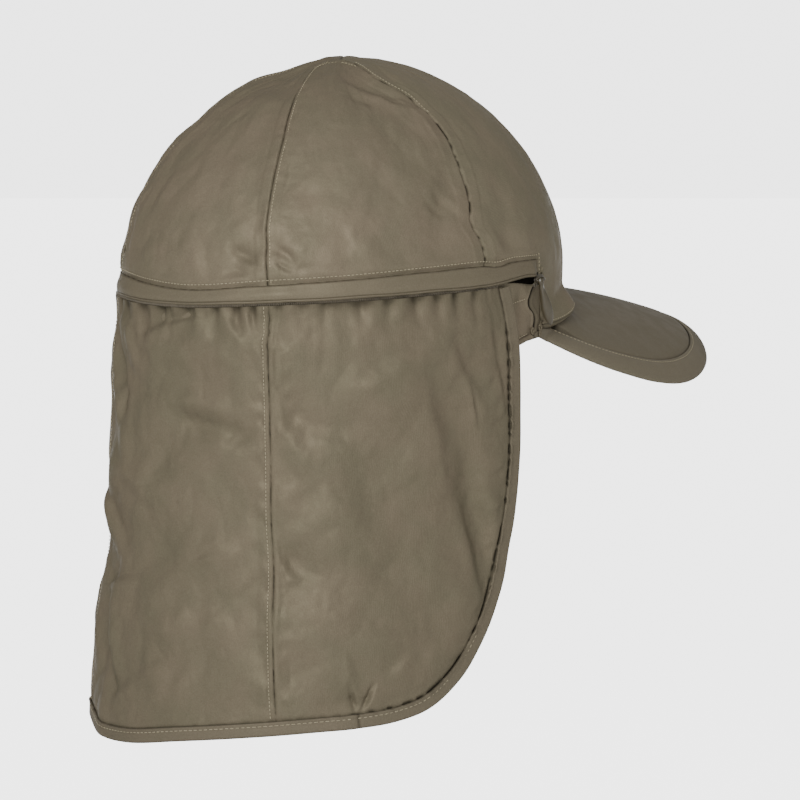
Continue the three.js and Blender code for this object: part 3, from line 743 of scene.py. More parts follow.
def crown_panel(name, node, start, end, cols, rows):
    """The wall between two seams, with its seams sunk, its foot rolled and its cloth uneven."""
    s = np.linspace(0, 1, cols)
    s = 0.55 * s + 0.45 * (0.5 - 0.5 * np.cos(np.pi * s))
    flat_angle = mix(start, end, s)
    for step_at in (CROWN_STEP, 360 - CROWN_STEP):
        if start < step_at < end:
            flat_angle = np.sort(np.append(flat_angle, [step_at - 0.12, step_at + 0.12]))
            s = (flat_angle - start) / (end - start)
    z = crown_heights(flat_angle[None, :], rows)
    low = seam_angle(start, z)
    high = seam_angle(end, z)
    angle = mix(low, high, s[None, :])
    aside = np.abs(wrapped(angle))
    up = z - z[0][None, :]
    dents = folds_at(CROWN_DENTS, angle, z) * ease(up / FLARE_HEIGHT)
    grid = wall(angle, z, crown_flare(angle, up) + dents)
    radius = np.hypot(grid[..., 0], grid[..., 1])
    from_low = np.radians(angle - low) * radius
    from_high = np.radians(high - angle) * radius
    along = np.arcsin(np.clip((z - DOME_BASE) / (CROWN_HEIGHT - DOME_BASE), 0, 1)) * 100 + z
    detail = seam_profile(from_low) + seam_profile(from_high)
    detail = detail + seam_puckers(int(start) + 21, along, from_low, 1.5) * ease(from_low / 1.2)
    detail = detail + seam_puckers(int(end) + 22, along, from_high, 1.5) * ease(from_high / 1.2)
    # The cloth lies flat at the seams and near the top, where the panels are narrow
    free = ease(from_low / 6) * ease(from_high / 6) * ease(radius / 30)
    above_guard = z - guard_top(angle)
    free = free * np.where(aside > CROWN_STEP, ease((above_guard - 1.2) / 7), 1)
    # Calmer on the front half
    free = free * mix(0.5, 1, ease((aside - 70) / 34))
    detail = detail + crown_detail(angle, z) * free
    on_peak = aside < CROWN_STEP
    roll = 0.45 * np.sqrt(np.clip(1 - ((up - 0.8) / 0.85) ** 2, 0, 1)) - 0.4 * bell((up - 2.0) / 0.3)
    under_guard = -0.35 * bell((above_guard - 0.2) / 0.7)
    puffed = 0.35 * bell((above_guard - 3.4) / 1.8)
    sewn = seam_puckers(77, angle * WEAVE_DEGREE, np.abs(above_guard), 0.5, 5.2, 6)
    detail = detail + np.where(on_peak, roll * ease((CROWN_STEP - aside) / 3), 0)
    detail = detail + np.where(aside > 70, under_guard + puffed + sewn, 0)
    grid = grid + outward(grid) * detail[..., None]
    if start >= BACK_SEAM:
        grid[..., 2] -= top_hollow(grid)
    # Painted shade along both seams, in dashes
    dashes, width = seam_dashes(end, z, 0.45 + 0.3 * noise(22, z / 2.6, 0), 0.3)
    painted_shade = dashes * bell(from_high / width)
    dashes, width = seam_dashes(start, z, 0.6 + 0.3 * noise(23, z / 1.3, 0), 0.32)
    painted_shade = painted_shade + dashes * bell(from_low / width)
    # Painted shade in the seam that just shows at the outline
    for at, distance in ((start, from_low), (end, from_high)):
        if at == 360 - BACK_SEAM:
            painted_shade = painted_shade + 0.8 * dashes * bell(distance / 1.0) * bell((z - 40) / 7)
    # Painted shade in the groove above the rolled foot on the peak
    painted_shade = painted_shade + np.where(on_peak, 0.6 * bell((up - 2.0) / 0.32), 0)
    painted_shade = painted_shade * ease(radius / 4)
    material = SHELL if SIDE_SEAM <= start < 360 - SIDE_SEAM else CALM_SHELL
    piece = cloth(name, grid, SHELL_THICKNESS, material, painted_shade, cloth_uv(angle, z))
    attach(piece, "cap")
    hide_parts(node)


crown_panel("crown_front", "crown_panel_front", -FRONT_SEAM, FRONT_SEAM, 96, 84)
crown_panel("crown_front_right", "crown_panel_front_right", FRONT_SEAM, SIDE_SEAM, 140, 110)
crown_panel("crown_back_right", "crown_panel_back_right", SIDE_SEAM, BACK_SEAM, 140, 110)
crown_panel("crown_back", "crown_panel_back", BACK_SEAM, 360 - BACK_SEAM, 140, 110)
crown_panel("crown_back_left", "crown_panel_back_left", 360 - BACK_SEAM, 360 - SIDE_SEAM, 96, 84)
crown_panel("crown_front_left", "crown_panel_front_left", 360 - SIDE_SEAM, 360 - FRONT_SEAM, 96, 84)


# Guard strip over the zip

def guard_dip(angle):
    """The strip's top dips a little in front of the side seam."""
    return 1.1 * bell((angle - 87.5) / 4)


def guard_strip():
    """The folded strip over the zip, sewn along its top and open along its foot."""
    angle = np.linspace(69.8, 360 - GUARD_LINE[0, 0], 440)[None, :]
    past_end = angle - GUARD_LINE[0, 0]
    share = np.concatenate([
        np.linspace(0, 0.2, 9)[:-1],
        np.linspace(0.2, 0.85, 12),
        np.linspace(0.85, 1, 8)[1:],
    ])[:, None]
    # The front end reaches lower, over the slider
    foot = guard_foot(angle) - 1.5 * (1 - ease(past_end / 9)) + 0.2 * noise(31, angle / 9, 0)
    top = guard_top(angle) - guard_dip(angle) + 0.12 * noise(32, angle / 5, 0)
    z = mix(foot, top, share)
    height = (top - foot) * (1 - share)
    up = (top - foot) * share
    far = ease((np.abs(wrapped(angle)) - 150) / 40)
    lift = mix(1.5, 0.9, far)
    out = 1.0 + mix(lift, 0.1, ease((share - 0.35) / 0.65))
    out = out + 0.1 * np.sin(np.pi * share) + 0.18 * noise(33, angle / 6, share * 2) * np.sin(np.pi * share)
    out = out + 1.0 * (1 - ease(past_end / 7)) * (1 - share)
    out = out - 1.1 * bell(height / 0.4) - 0.4 * bell(up / 0.35)
    out = out - 0.24 * bell((up - 1.15) / 0.22)
    out = out + 0.14 * noise(34, angle / 2.2, 0) * bell(height / 2.2)
    out = out * mix(0.12, 1, ease(past_end / 5)) - 1.3 * bell((angle - 224) / 13)
    seam = bell((angle - 70.8) * WEAVE_DEGREE / 0.35) * ease((share - 0.1) / 0.3)
    out = out - 0.5 * seam
    grid = wall(angle, z, np.maximum(out, 0.1))
    # Painted shade in the sewn groove at the top in dashes, in the fold line near the foot, at the open
    # foot and along the seam at the front end
    dashes = 0.75 + 0.25 * np.sign(noise(35, angle / 0.8, 0))
    painted_shade = 0.7 * bell(height / 0.3) * dashes + 0.5 * bell((up - 1.15) / 0.2) + 0.35 * bell(up / 0.25)
    painted_shade = painted_shade + 0.8 * seam * (0.6 + 0.4 * noise(36, z / 0.9, 0))
    piece = cloth("guard_strip", grid, GUARD_THICKNESS, GUARD, painted_shade, cloth_uv(angle, z))
    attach(piece, "cap")
    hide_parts("zip_guard")


guard_strip()


# Band of the crown below the zip

# Where the band ends at the left temple
BAND_END = 293.4

# z and angle of the band's wavy front edge at the right temple
BAND_EDGE = np.array([
    (-2, 72.6), (2, 72.8), (5, 73.4), (8, 73.3), (11.5, 73.0), (13.5, 73.5), (16, 75.3),
    (19.5, 75.6), (23, 74.3), (26.5, 72.4), (30, 72),
])


def band_front(z):
    return spline(BAND_EDGE[:, 0], BAND_EDGE[:, 1], z)


def near_temple(angle):
    """1 in front of the side seam at the right, where the flap leaves the band in view."""
    return 1 - ease((angle - 84) / 6)


def zip_opening(angle):
    """How far the zip stands open behind its slider, in mm."""
    return 1.7 * np.clip((85.5 - angle) / 10, 0, 1)


def rim_rise(angle):
    """The rim turns up at the temples to meet the peak."""
    return 3.2 * (1 - ease((np.abs(wrapped(angle)) - 73) / 10))


def back_band():
    """The crown's strip under the zip, from its wavy front edge round the back."""
    s = np.linspace(0, 1, 320)[None, :] ** 1.25
    share = np.linspace(0, 1, 46)[:, None]
    rough_angle = mix(73.5, BAND_END, s)
    top = zip_z(rough_angle) - 0.2 - zip_opening(rough_angle)
    low = rim_rise(rough_angle)
    z = mix(low, top, share)
    angle = mix(band_front(z), BAND_END, s)
    visible = near_temple(angle)
    up = z - low
    edge = (angle - band_front(z)) * TEMPLE_DEGREE
    out = 0.3 * noise(41, angle / 5, z / 9) + visible * (0.55 + 0.35 * noise(42, angle / 2.4, z / 7))
    out = out + visible * crease(angle, z, (80, 9), (74.5, 13.5), 1.6, 0.5, 0.6)
    out = out + visible * crease(angle, z, (79, 24), (75.5, 17), 1.8, -0.5, 0.4)
    out = out + 0.4 * np.sqrt(np.clip(1 - ((up - 0.8) / 0.85) ** 2, 0, 1)) - 0.3 * bell((up - 2.2) / 0.35)
    out = out + 0.6 * bell((edge - 1.1) / 0.9) - 0.6 * bell(edge / 0.4)
    # Its other end lies behind the crown's edge
    out = out - 1.3 * ease((angle - 290.6) / 1.2)
    grid = wall(angle, z, 0)
    grid = grid + outward(grid) * out[..., None]
    # Painted shade in the gap at the band's wavy front edge and in the groove above the rolled rim
    painted_shade = 0.9 * bell(edge / 0.45) + 0.4 * bell((up - 2.2) / 0.3)
    piece = cloth("rim_band", grid, SHELL_THICKNESS, SHELL, painted_shade, cloth_uv(angle, z))
    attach(piece, "cap")
    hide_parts("back_band")


back_band()


def tape_end():
    """The zip's tape turns down at the right temple, between the band and the crown."""
    z = np.linspace(4.4, 27.5, 70)[:, None]
    s = np.linspace(0, 1, 64)[None, :]
    angle = mix(52, band_front(z) + 2.4, s)
    edge = (band_front(z) - angle) * TEMPLE_DEGREE
    fold = band_front(z) - 3.2 + 0.3 * noise(46, z / 5, 0)
    out = -0.35 + 0.35 * noise(45, z / 6.5, 0) * bell((angle - fold) / 1.8)
    out = out + 0.45 * bell((angle - fold) / 0.75) - 0.7 * bell((edge - 0.3) / 1.1)
    out = out - 0.9 * (1 - ease((angle - 66.8) / 1.2))
    grid = wall(angle, z, out)
    # Painted shade in the gap beside the band's front edge
    painted_shade = 0.9 * ease((4.3 - edge) / 0.7)
    piece = cloth("zip_tape_end", grid, TAPE_THICKNESS, GUARD, painted_shade, cloth_uv(angle, z))
    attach(piece, "cap")


tape_end()


# Zip: tape and coil

def zip_tape():
    """The tape under the guard strip, open to a wedge behind the slider, with painted shade that darkens it
    all along and most in the wedge.
    """
    angle = np.linspace(ZIP_START - 4, 360 - ZIP_START, 300)[None, :]
    share = np.linspace(0, 1, 9)[:, None]
    z = zip_z(angle) + ZIP_HEIGHT * (share - ZIP_BELOW)
    mouth = 1 - ease((angle - 81.5) / 4)
    z = z + (share - 0.5) * 1.4 + (1 - share) * (2.1 + 0.4 * mouth - zip_opening(angle))
    out = mix(mix(0.1, 1.0, share), 1.0 + 0.35 * ease((angle - 75) / 2), mouth)
    # Painted shade: the tape is darkened all along, and nearly black in the open wedge behind the slider
    painted_shade = 0.55 + 0.43 * mouth + 0 * z
    grid = wall(angle, z, out)
    piece = cloth("zip_tape", grid, TAPE_THICKNESS, TAPE, painted_shade, cloth_uv(angle, z))
    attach(piece, "cap")
    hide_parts("zip")


zip_tape()


COIL_TEETH = 396


def zip_coil():
    """Fine teeth that show as a thin line below the guard strip."""
    teeth = []
    for angle in mix(88.5, 274.5, np.arange(COIL_TEETH) / (COIL_TEETH - 1)):
        low = wall(angle, float(zip_z(angle)) - 2.0, 1.6)
        high = wall(angle, float(zip_z(angle)) - 0.7, 1.6)
        teeth.append(rod(np.array([low, mix(low, high, 0.5), high]), np.array([0.2, 0.33, 0.25]), 6))
    return teeth


def joined(name, parts, material):
    """Many small closed solids as one piece. parts holds (points, faces) pairs."""
    start = 0
    points = []
    faces = []
    for part_points, part_faces in parts:
        points.append(part_points)
        faces.extend([[index + start for index in face] for face in part_faces])
        start += len(part_points)
    mesh = bpy.data.meshes.new(name)
    mesh.from_pydata((np.concatenate(points) * MM).tolist(), [], faces)
    piece = shaded_object(name, mesh, np.zeros(len(mesh.vertices)), material)
    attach(piece, "cap")


joined("zip_coil", zip_coil(), TEETH)


# Neck flap

# Pockets between the gathers under the zip: angle, half width, depth and length down
POCKETS = [
    (96.4, 1.5, 1.5, 13),
    (101.7, 1.8, 1.7, 9),
    (106.8, 2.2, 1.8, 10),
    (112.4, 2.9, 1.9, 9),
    (119.5, 2.4, 1.6, 10),
    (126.4, 5.0, 1.8, 9),
    (133.6, 5.2, 1.4, 7),
    (140.4, 2.6, 1.3, 6),
    (146.6, 1.8, 1.4, 6),
    (153.0, 1.8, 1.5, 11),
    (157.8, 2.2, 1.7, 10),
    (163.6, 2.2, 1.4, 8),
    (172.5, 4.0, 1.2, 7),
    (181.5, 4.6, 1.7, 7),
    (190.5, 3.6, 1.6, 9),
    (199.0, 3.0, 1.7, 12),
    (205.5, 2.4, 1.3, 9),
    (216.0, 3.4, 1.6, 9),
    (225.0, 3.0, 1.5, 8),
    (233.5, 3.4, 1.6, 10),
    (243.0, 3.0, 1.5, 8),
    (251.5, 3.2, 1.6, 10),
    (259.5, 2.6, 1.5, 8),
    (266.5, 2.2, 1.5, 9),
]


def pockets(angle, depth, reach=1.0):
    out = 0.0
    for at, half_width, deep, length in POCKETS:
        across = (angle - at) * 1.66 / (half_width * (1 + 0.25 * np.maximum(depth, 0) / length))
        out = out + deep * bell(across) * np.exp(-(np.maximum(depth, 0) / (length * reach)) ** 1.4)
    return out


def flap_top(angle):
    return zip_z(angle) - ZIP_HEIGHT * ZIP_BELOW - SEAM_GAP + 0.6


def hem_z(angle):
    return spline(HEM_LINE[:, 0], HEM_LINE[:, 1], angle)


def flap_z(angle, level):
    return np.where(level > 0, level * hem_z(angle), -level * flap_top(angle))


# Creases of the flap: start (angle, z), end (angle, z), width, height, one-sidedness
FLAP_CREASES = [
    # under the zip, at the back
    ((186, 10), (165, 14), 1.1, 0.7, 0.8),
    ((190, 4), (180, 12), 2.4, 0.8, 0.5),
    ((161, 18), (155, 0), 2.0, 0.9, 0.6),
    ((156, 20), (151.5, 0), 1.5, 0.7, 0.7),
    ((170, 17), (163, 2), 2.6, 0.8, 0.6),
    ((200, 16), (191, -8), 2.4, 0.9, 0.6),
    ((194, 16), (189, 0), 2.0, 0.7, 0.5),
    # buckles at the back's left
    ((214, 12), (197, -34), 2.6, 1.2, 0.6),
    ((207, 2), (197, -20), 2.2, -0.9, 0.5),
    ((198, -14), (203, -34), 1.8, 0.9, 0.8),
    ((203, -30), (195, -50), 3.0, -0.9, 0.5),
    ((205, -36), (176, -66), 7.5, 1.5, 0.35),
    ((214, -54), (194, -82), 2.0, 1.3, 0.85),
    ((219, -70), (196, -90), 3.2, -1.2, 0.5),
    ((206, -98), (186, -93), 1.2, 0.7, 0.8),
    ((205, -98), (199, -93), 1.0, 0.6, 0.8),
    ((202.5, -96), (193.5, -146), 1.8, -1.2, 0.85),
    ((213, -100), (203, -146), 4.0, 1.0, 0.5),
    ((199, -147), (186, -138), 3.0, 0.9, 0.5),
    # broad folds that run into the back seam
    ((186, -10), (157, -26), 5.0, 1.1, 0.55),
    ((180, -22), (152, -36), 4.6, -1.3, 0.45),
    ((174, -34), (152, -42), 3.6, 0.8, 0.6),
    ((176, -84), (153, -76), 5.0, 0.9, 0.5),
    ((182, -116), (158, -104), 6.5, 0.8, 0.5),
    ((184, -128), (160, -136), 5.5, 0.8, 0.6),
    ((169.5, -86), (160.5, -81), 0.8, 0.5, 0.9),
    # thin creases and broad folds at the side
    ((147, -18), (139, -46), 3.4, 0.9, 0.6),
    ((147, -76), (141, -96), 2.4, 1.2, 0.8),
    ((146, -96), (139, -92), 1.4, -0.7, 0.5),
    ((126, -16), (108, 6), 3.6, 1.1, 0.6),
    ((104, 8), (96, -26), 3.0, 1.0, 0.6),
    ((99, -12), (96, -34), 0.7, 0.5, 0.9),
    ((112, -6), (104, -64), 4.4, 1.0, 0.7),
    ((98, -40), (92, -98), 3.4, -1.2, 0.5),
    ((102, -60), (94, -118), 3.6, 1.0, 0.6),
    ((92, 14), (88, -30), 2.0, 0.7, 0.6),
    ((142, -28), (126, -44), 4.0, 0.9, 0.7),
    ((138, -56), (118, -84), 6.0, 1.0, 0.6),
    ((137, -92), (112, -104), 7.0, 0.9, 0.55),
    ((130, -112), (108, -120), 5.0, 0.8, 0.6),
    ((114, -132), (104, -112), 3.0, 0.8, 0.6),
    ((122, -132), (114, -122), 2.0, 0.7, 0.7),
    # pulled folds above the joint in the hem
    ((129.6, -133), (128, -147.5), 0.9, -1.1, 0.3),
    ((123.6, -134), (127.4, -147), 0.9, -1.1, 0.3),
    ((131.5, -118), (128.4, -140), 2.2, 0.7, 0.4),
]
# Short pulls that run in from the bound front edge: angle, z, length in degrees and drop
EDGE_PULLS = [
    (88.5, -8, 4.5, 6),
    (88.6, -26, 4, 5),
    (88.8, -46, 5, 7),
    (89.4, -62, 4.5, 6),
    (90.2, -76, 5, 9),
    (91.6, -88, 4.5, 8),
    (93.4, -99, 5, 9),
    (96.2, -110, 5, 8),
    (99.4, -119, 6, 8),
    (104.6, -128, 6, 9),
]


def flap_detail(angle, z):
    """The flap's wrinkles, in mm: gathers below the zip, buckles, folds and thin creases."""
    arc = (angle - 150) * RELIEF_DEGREE
    depth = flap_top(angle) - z
    below = np.maximum(depth, 0)
    out = 1.25 * np.exp(-below / 12) - pockets(angle, depth)
    ribs = noise(51, arc / 3.6 + 0.5 * noise(52, arc / 9, below / 18), below / 26)
    out = out + 0.85 * ribs * np.exp(-below / 11)
    out = out + 0.32 * noise(54, arc / 1.9, below / 14) * np.exp(-below / 5)
    out = out + 2.3 * crumple(57, arc / 33, z / 39) * ease(below / 14)
    out = out + 0.7 * crumple(58, (arc + 0.6 * z) / 13, (z - 0.5 * arc) / 17) * ease(below / 8)
    out = out + 1.1 * noise(55, (arc + 0.25 * z) / 27, (z - 0.2 * arc) / 36)
    out = out + 0.34 * noise(56, (arc - 0.5 * z) / 9, (z + 0.3 * arc) / 17)
    for start, end, width, height, one_sided in FLAP_CREASES:
        # Broad folds stand up more
        strength = 2.7 if width > 3.3 else 2.0
        out = out + strength * crease(angle, z, start, end, width, height, one_sided)
    for at, high, length, fall in EDGE_PULLS:
        out = out + crease(angle, z, (at - 1.5, high), (at + length, high - fall), 0.9, 0.6, 0.8)
    # Calmer where the cloth forms the outline at the left
    return out * (1 - 0.55 * bell((angle - 219) / 10))


def flap_seam(level):
    return FLAP_SEAM + FLAP_SEAM_SWING * np.clip(level, 0, 1) + 0.25 * noise(61, level * 7, 0)


def flap_out(angle, z):
    """How far the flap stands off the wall in plan, without its fine wrinkles."""
    depth = flap_top(angle) - z
    back_share = ease((np.abs(wrapped(angle)) - 90) / 60)
    side = spline(FLAP_FLARE[:, 0], FLAP_FLARE[:, 1], depth)
    back = spline(FLAP_FLARE[:, 0], FLAP_FLARE[:, 2], depth)
    folds = folds_at(FLAP_FOLDS, angle, z) * ease(depth / 16)
    return np.maximum(mix(side, back, back_share) + folds, 1.5)


def side_outline():
    """Points (angle, level) down the flap's right edge, smooth and evenly spaced."""
    table = FLAP_SIDE[::-1]
    flat = table[:, ::-1] * np.array([1.75, 153.0])
    steps = np.concatenate([[0], np.cumsum(np.hypot(*np.diff(flat, axis=0).T))])
    fine = np.linspace(0, steps[-1], 400)
    return spline(steps, table[:, 1], fine), spline(steps, table[:, 0], fine)


EDGE_ANGLE, EDGE_LEVEL = side_outline()


def front_edge(level):
    return np.interp(level, EDGE_LEVEL, EDGE_ANGLE)


def flap_place(angle, z):
    """A point on the flap, without its fine wrinkles."""
    return wall(angle, z, flap_out(angle, z))


def flap_panel(name, node, cols, rows, start_of, end_of, seam_ends):
    """One piece of the flap between two edges, each of them sewn to the next piece or bound."""
    v = np.linspace(0, 1, rows)
    level = np.interp(v, [0, 0.1, 0.8, 1], [-1, -0.1, 0.9, 0.997])
    level = np.where(v > 0.8, 0.9 + 0.097 * np.sin((v - 0.8) / 0.2 * np.pi / 2), level)[:, None]
    s = np.linspace(0, 1, cols)
    s = (0.6 * s + 0.4 * (0.5 - 0.5 * np.cos(np.pi * s)))[None, :]
    start = start_of(level)
    end = end_of(level)
    angle = mix(start, end, s)
    z = flap_z(angle, level)
    grid = flap_place(angle, z)
    normal = outward(grid)
    detail = flap_detail(angle, z)
    along = -z
    painted_shade = 0 * angle
    for at, is_seam, side in ((start, seam_ends[0], 1), (end, seam_ends[1], 2)):
        if is_seam:
            distance = np.abs(angle - at) * per_degree(FLAP_SEAM)
            detail = detail * ease(distance / 6)
            detail = detail + 0.6 * seam_profile(distance)
            shared = 0.3 * noise(71, along / 4.4, 0) * bell(distance / 1.6)
            size = np.where(angle < 180, 5.0, 1.6)
            own = seam_puckers(71 + 3 * side, along, distance, size, 4.0, 7) * ease((distance - 1.5) / 2)
            detail = detail + shared + own
            # Painted shade along the seam, in dashes
            dashes = 0.5 + 0.35 * noise(76, along / 7, 0) + 0.25 * noise(78, along / 1.4, 0)
            painted_shade = painted_shade + dashes * bell(distance / 0.3)
    # The cloth dips where the binding covers its edge
    inset, run = nearest_outline(angle, z)
    gap = edge_gap(run)
    dip = 0.9 * bell((inset - HEM_WIDTH - 0.1) / 0.8) * (0.4 + 0.6 * gap)
    detail = detail * ease((inset - 3) / 9) - dip
    depth = flap_top(angle) - z
    # Painted shade under the binding's edge, in the pockets of the gathers, and darker just below the guard
    # strip
    painted_shade = painted_shade + (0.5 + 0.5 * gap) * bell((inset - HEM_WIDTH) / (0.36 + 0.2 * gap))
    painted_shade = painted_shade + 0.5 * np.clip(pockets(angle, depth, 0.25), 0, 1)
    painted_shade = painted_shade + 0.1 * np.exp(-np.maximum(depth, 0) / 12)
    grid = grid + normal * detail[..., None]
    piece = cloth(name, grid, FLAP_THICKNESS, FLAP, painted_shade, cloth_uv(angle, z))
    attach(piece, "cap")
    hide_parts(node)


def to_flat(angle, z):
    """Places in the flat, in mm: across from the middle of the back, and z."""
    return np.stack(np.broadcast_arrays((angle - 180) * FLAT_DEGREE, z), -1)


def outline_path():
    """The whole outline in the flat: down the right edge, along the hem and up the left edge."""
    right_z = flap_z(EDGE_ANGLE, EDGE_LEVEL)
    hem_angle = np.linspace(EDGE_ANGLE[-1], 360 - EDGE_ANGLE[-1], 300)[1:-1]
    angle = np.concatenate([EDGE_ANGLE, hem_angle, 360 - EDGE_ANGLE[::-1]])
    left_z = flap_z(360 - EDGE_ANGLE[::-1], EDGE_LEVEL[::-1])
    z = np.concatenate([right_z, hem_z(hem_angle), left_z])
    flat = to_flat(angle, z)
    run = np.concatenate([[0], np.cumsum(np.hypot(*np.diff(flat, axis=0).T))])
    even = np.linspace(0, run[-1], 620)
    flat = np.stack([np.interp(even, run, flat[:, 0]), np.interp(even, run, flat[:, 1])], -1)
    # Round the small corners of the table
    kernel = np.hanning(15)
    kernel /= kernel.sum()
    padded = np.pad(flat, ((7, 7), (0, 0)), mode="reflect", reflect_type="odd")
    flat = np.stack([np.convolve(padded[:, i], kernel, "valid") for i in (0, 1)], -1)
    tangent = np.gradient(flat, axis=0)
    tangent /= np.linalg.norm(tangent, axis=1, keepdims=True)
    inward = np.stack([-tangent[:, 1], tangent[:, 0]], -1)
    return flat, inward, even


OUTLINE, INWARD, RUN = outline_path()
# Up from the hem is inwards
if INWARD[300, 1] < 0:
    INWARD = -INWARD


def nearest_outline(angle, z):
    """Distance from the outline, and the distance along it of the nearest place."""
    flat = to_flat(angle, z).reshape(-1, 2)
    nearest = []
    # In parts, to save memory
    for part in np.split(flat, range(4000, len(flat), 4000)):
        gap = np.linalg.norm(part[:, None] - OUTLINE[None], axis=-1)
        index = gap.argmin(1)
        nearest.append([gap[np.arange(len(part)), index], RUN[index]])
    distance, run = np.concatenate(nearest, axis=1)
    return distance.reshape(angle.shape), run.reshape(angle.shape)


def edge_gap(run):
    """Where the bound edge stands open: 1 in a gap and 0 between gaps, by distance along it."""
    front = ease((run - 12) / 10) * (1 - ease((run - 205) / 22))
    teeth = ease((noise(81, run / 1.5, 0) + 0.3 + 0.3 * bell((run - 175) / 16)) * 2.4)
    return teeth * (0.2 + 0.65 * front)


def right_front(level):
    return front_edge(level) + 1.2


def far_seam(level):
    return 360 - flap_seam(level)


def left_front(level):
    return 360 - right_front(level)


flap_panel(
    "flap_side_right", "flap_panel_right", 150, 170, right_front, flap_seam,
    (False, True),
)
flap_panel(
    "flap_back", "flap_panel_back", 140, 170, flap_seam, far_seam,
    (True, True),
)
flap_panel(
    "flap_side_left", "flap_panel_left", 96, 110, far_seam, left_front,
    (True, False),
)


def surface_normals(place, u, v, step):
    """Unit normals of a surface that gives points for u and v."""
    beside = place(u + step, v) - place(u - step, v)
    above = place(u, v + step) - place(u, v - step)
    normal = np.cross(above, beside)
    return normal / np.maximum(np.linalg.norm(normal, axis=-1, keepdims=True), 1e-9)


def on_flap(flat, lift):
    """Points on the flap's outside from places in the flat, lifted along its normal."""
    angle = flat[..., 0] / FLAT_DEGREE + 180
    z = flat[..., 1]
    grid = flap_place(angle, z)
    normal = surface_normals(flap_place, angle, z, 0.15)
    away = np.stack([grid[..., 0], grid[..., 1], 0 * z], -1)
    flip = np.sign((normal * away).sum(-1, keepdims=True))
    return grid + normal * flip * np.asarray(lift)[..., None]


# Where the joint in the hem lies along the outline
FROM_JOINT = np.abs((OUTLINE[:, 0] / FLAT_DEGREE + 180) - 127.6) + np.abs(OUTLINE[:, 1] + 153)
HEM_JOINT = float(RUN[np.argmin(FROM_JOINT)])


def flap_hem():
    """The bound edge: a folded strip round the flap's outline."""
    across = np.array([0, 0.12, 0.35, 0.7, 1.2, 2, 3, 4, 4.8, 5.3, 5.65, 5.85, 6.0])
    flat = OUTLINE[None] + INWARD[None] * across[:, None, None]
    wobble = noise(82, RUN[None] / 11, across[:, None] / 9)
    lift = 0.45 - 1.1 * bell(across / 0.28) - 0.6 * bell((across - HEM_WIDTH) / 0.25)
    near_edge = bell((across[:, None] - HEM_WIDTH) / 1.3)
    lift = lift[:, None] + 0.2 * wobble + 0.3 * noise(83, RUN[None] / 3.1, 0) * near_edge
    lift = lift + 0.75 * edge_gap(RUN)[None] * near_edge
    lift = lift - 0.16 * bell((across[:, None] - 4.2) / 0.5) - 0.35 * bell((RUN[None] - HEM_JOINT) / 0.5)
    upright = 1 - ease((np.minimum(RUN, RUN[-1] - RUN) - 170) / 40)
    lift = lift + 0.6 * upright[None] * (1 - across[:, None] / HEM_WIDTH)
    grid = on_flap(flat, lift)
    # Painted shade at the binding's inner edge and at the joint in the hem
    painted_shade = 0.5 * bell((across - HEM_WIDTH) / 0.25)[:, None] + 0.45 * bell((RUN[None] - HEM_JOINT) / 0.35)
    uv = np.stack(np.broadcast_arrays(RUN[None], across[:, None]), -1)
    piece = cloth("flap_hem", grid, HEM_THICKNESS, HEM, painted_shade, uv)
    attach(piece, "cap")
    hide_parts("flap_binding")


flap_hem()


# Peak

def peak_outline(turn, inset):
    """The peak's outline in plan at a turn from its tip, moved in from its edge."""
    power = 2 / PEAK_ROUNDNESS
    sine = np.sin(turn)
    cosine = np.cos(turn)
    x = -(PEAK_HALF_WIDTH - inset) * np.sign(sine) * np.abs(sine) ** power
    y = -PEAK_MIDDLE - (PEAK_REACH - inset) * np.sign(cosine) * np.abs(cosine) ** power
    return x, y


def peak_corner(inset):
    """The turn at which the outline meets the crown's wall, found by halving."""
    outside = np.pi / 2
    inside = np.pi
    for _ in range(40):
        turn = (outside + inside) / 2
        x, y = peak_outline(turn, inset)
        if np.hypot(x / (CROWN_WIDTH / 2 + SEAM_GAP), y / (CROWN_LENGTH / 2 + SEAM_GAP)) > 1:
            outside = turn
        else:
            inside = turn
    return outside


def peak_surface(x, y, lift=0.0):
    return np.stack([x, y, peak_z(x, y) + lift], -1)


def fix_normals(piece):
    """Turns all faces of a closed piece outwards."""
    edit = bmesh.new()
    edit.from_mesh(piece.data)
    bmesh.ops.recalc_face_normals(edit, faces=edit.faces)
    edit.to_mesh(piece.data)
    edit.free()


def near_tip(y):
    """1 at the peak's tip and 0 well behind it."""
    return ease((-150 - y) / 22)


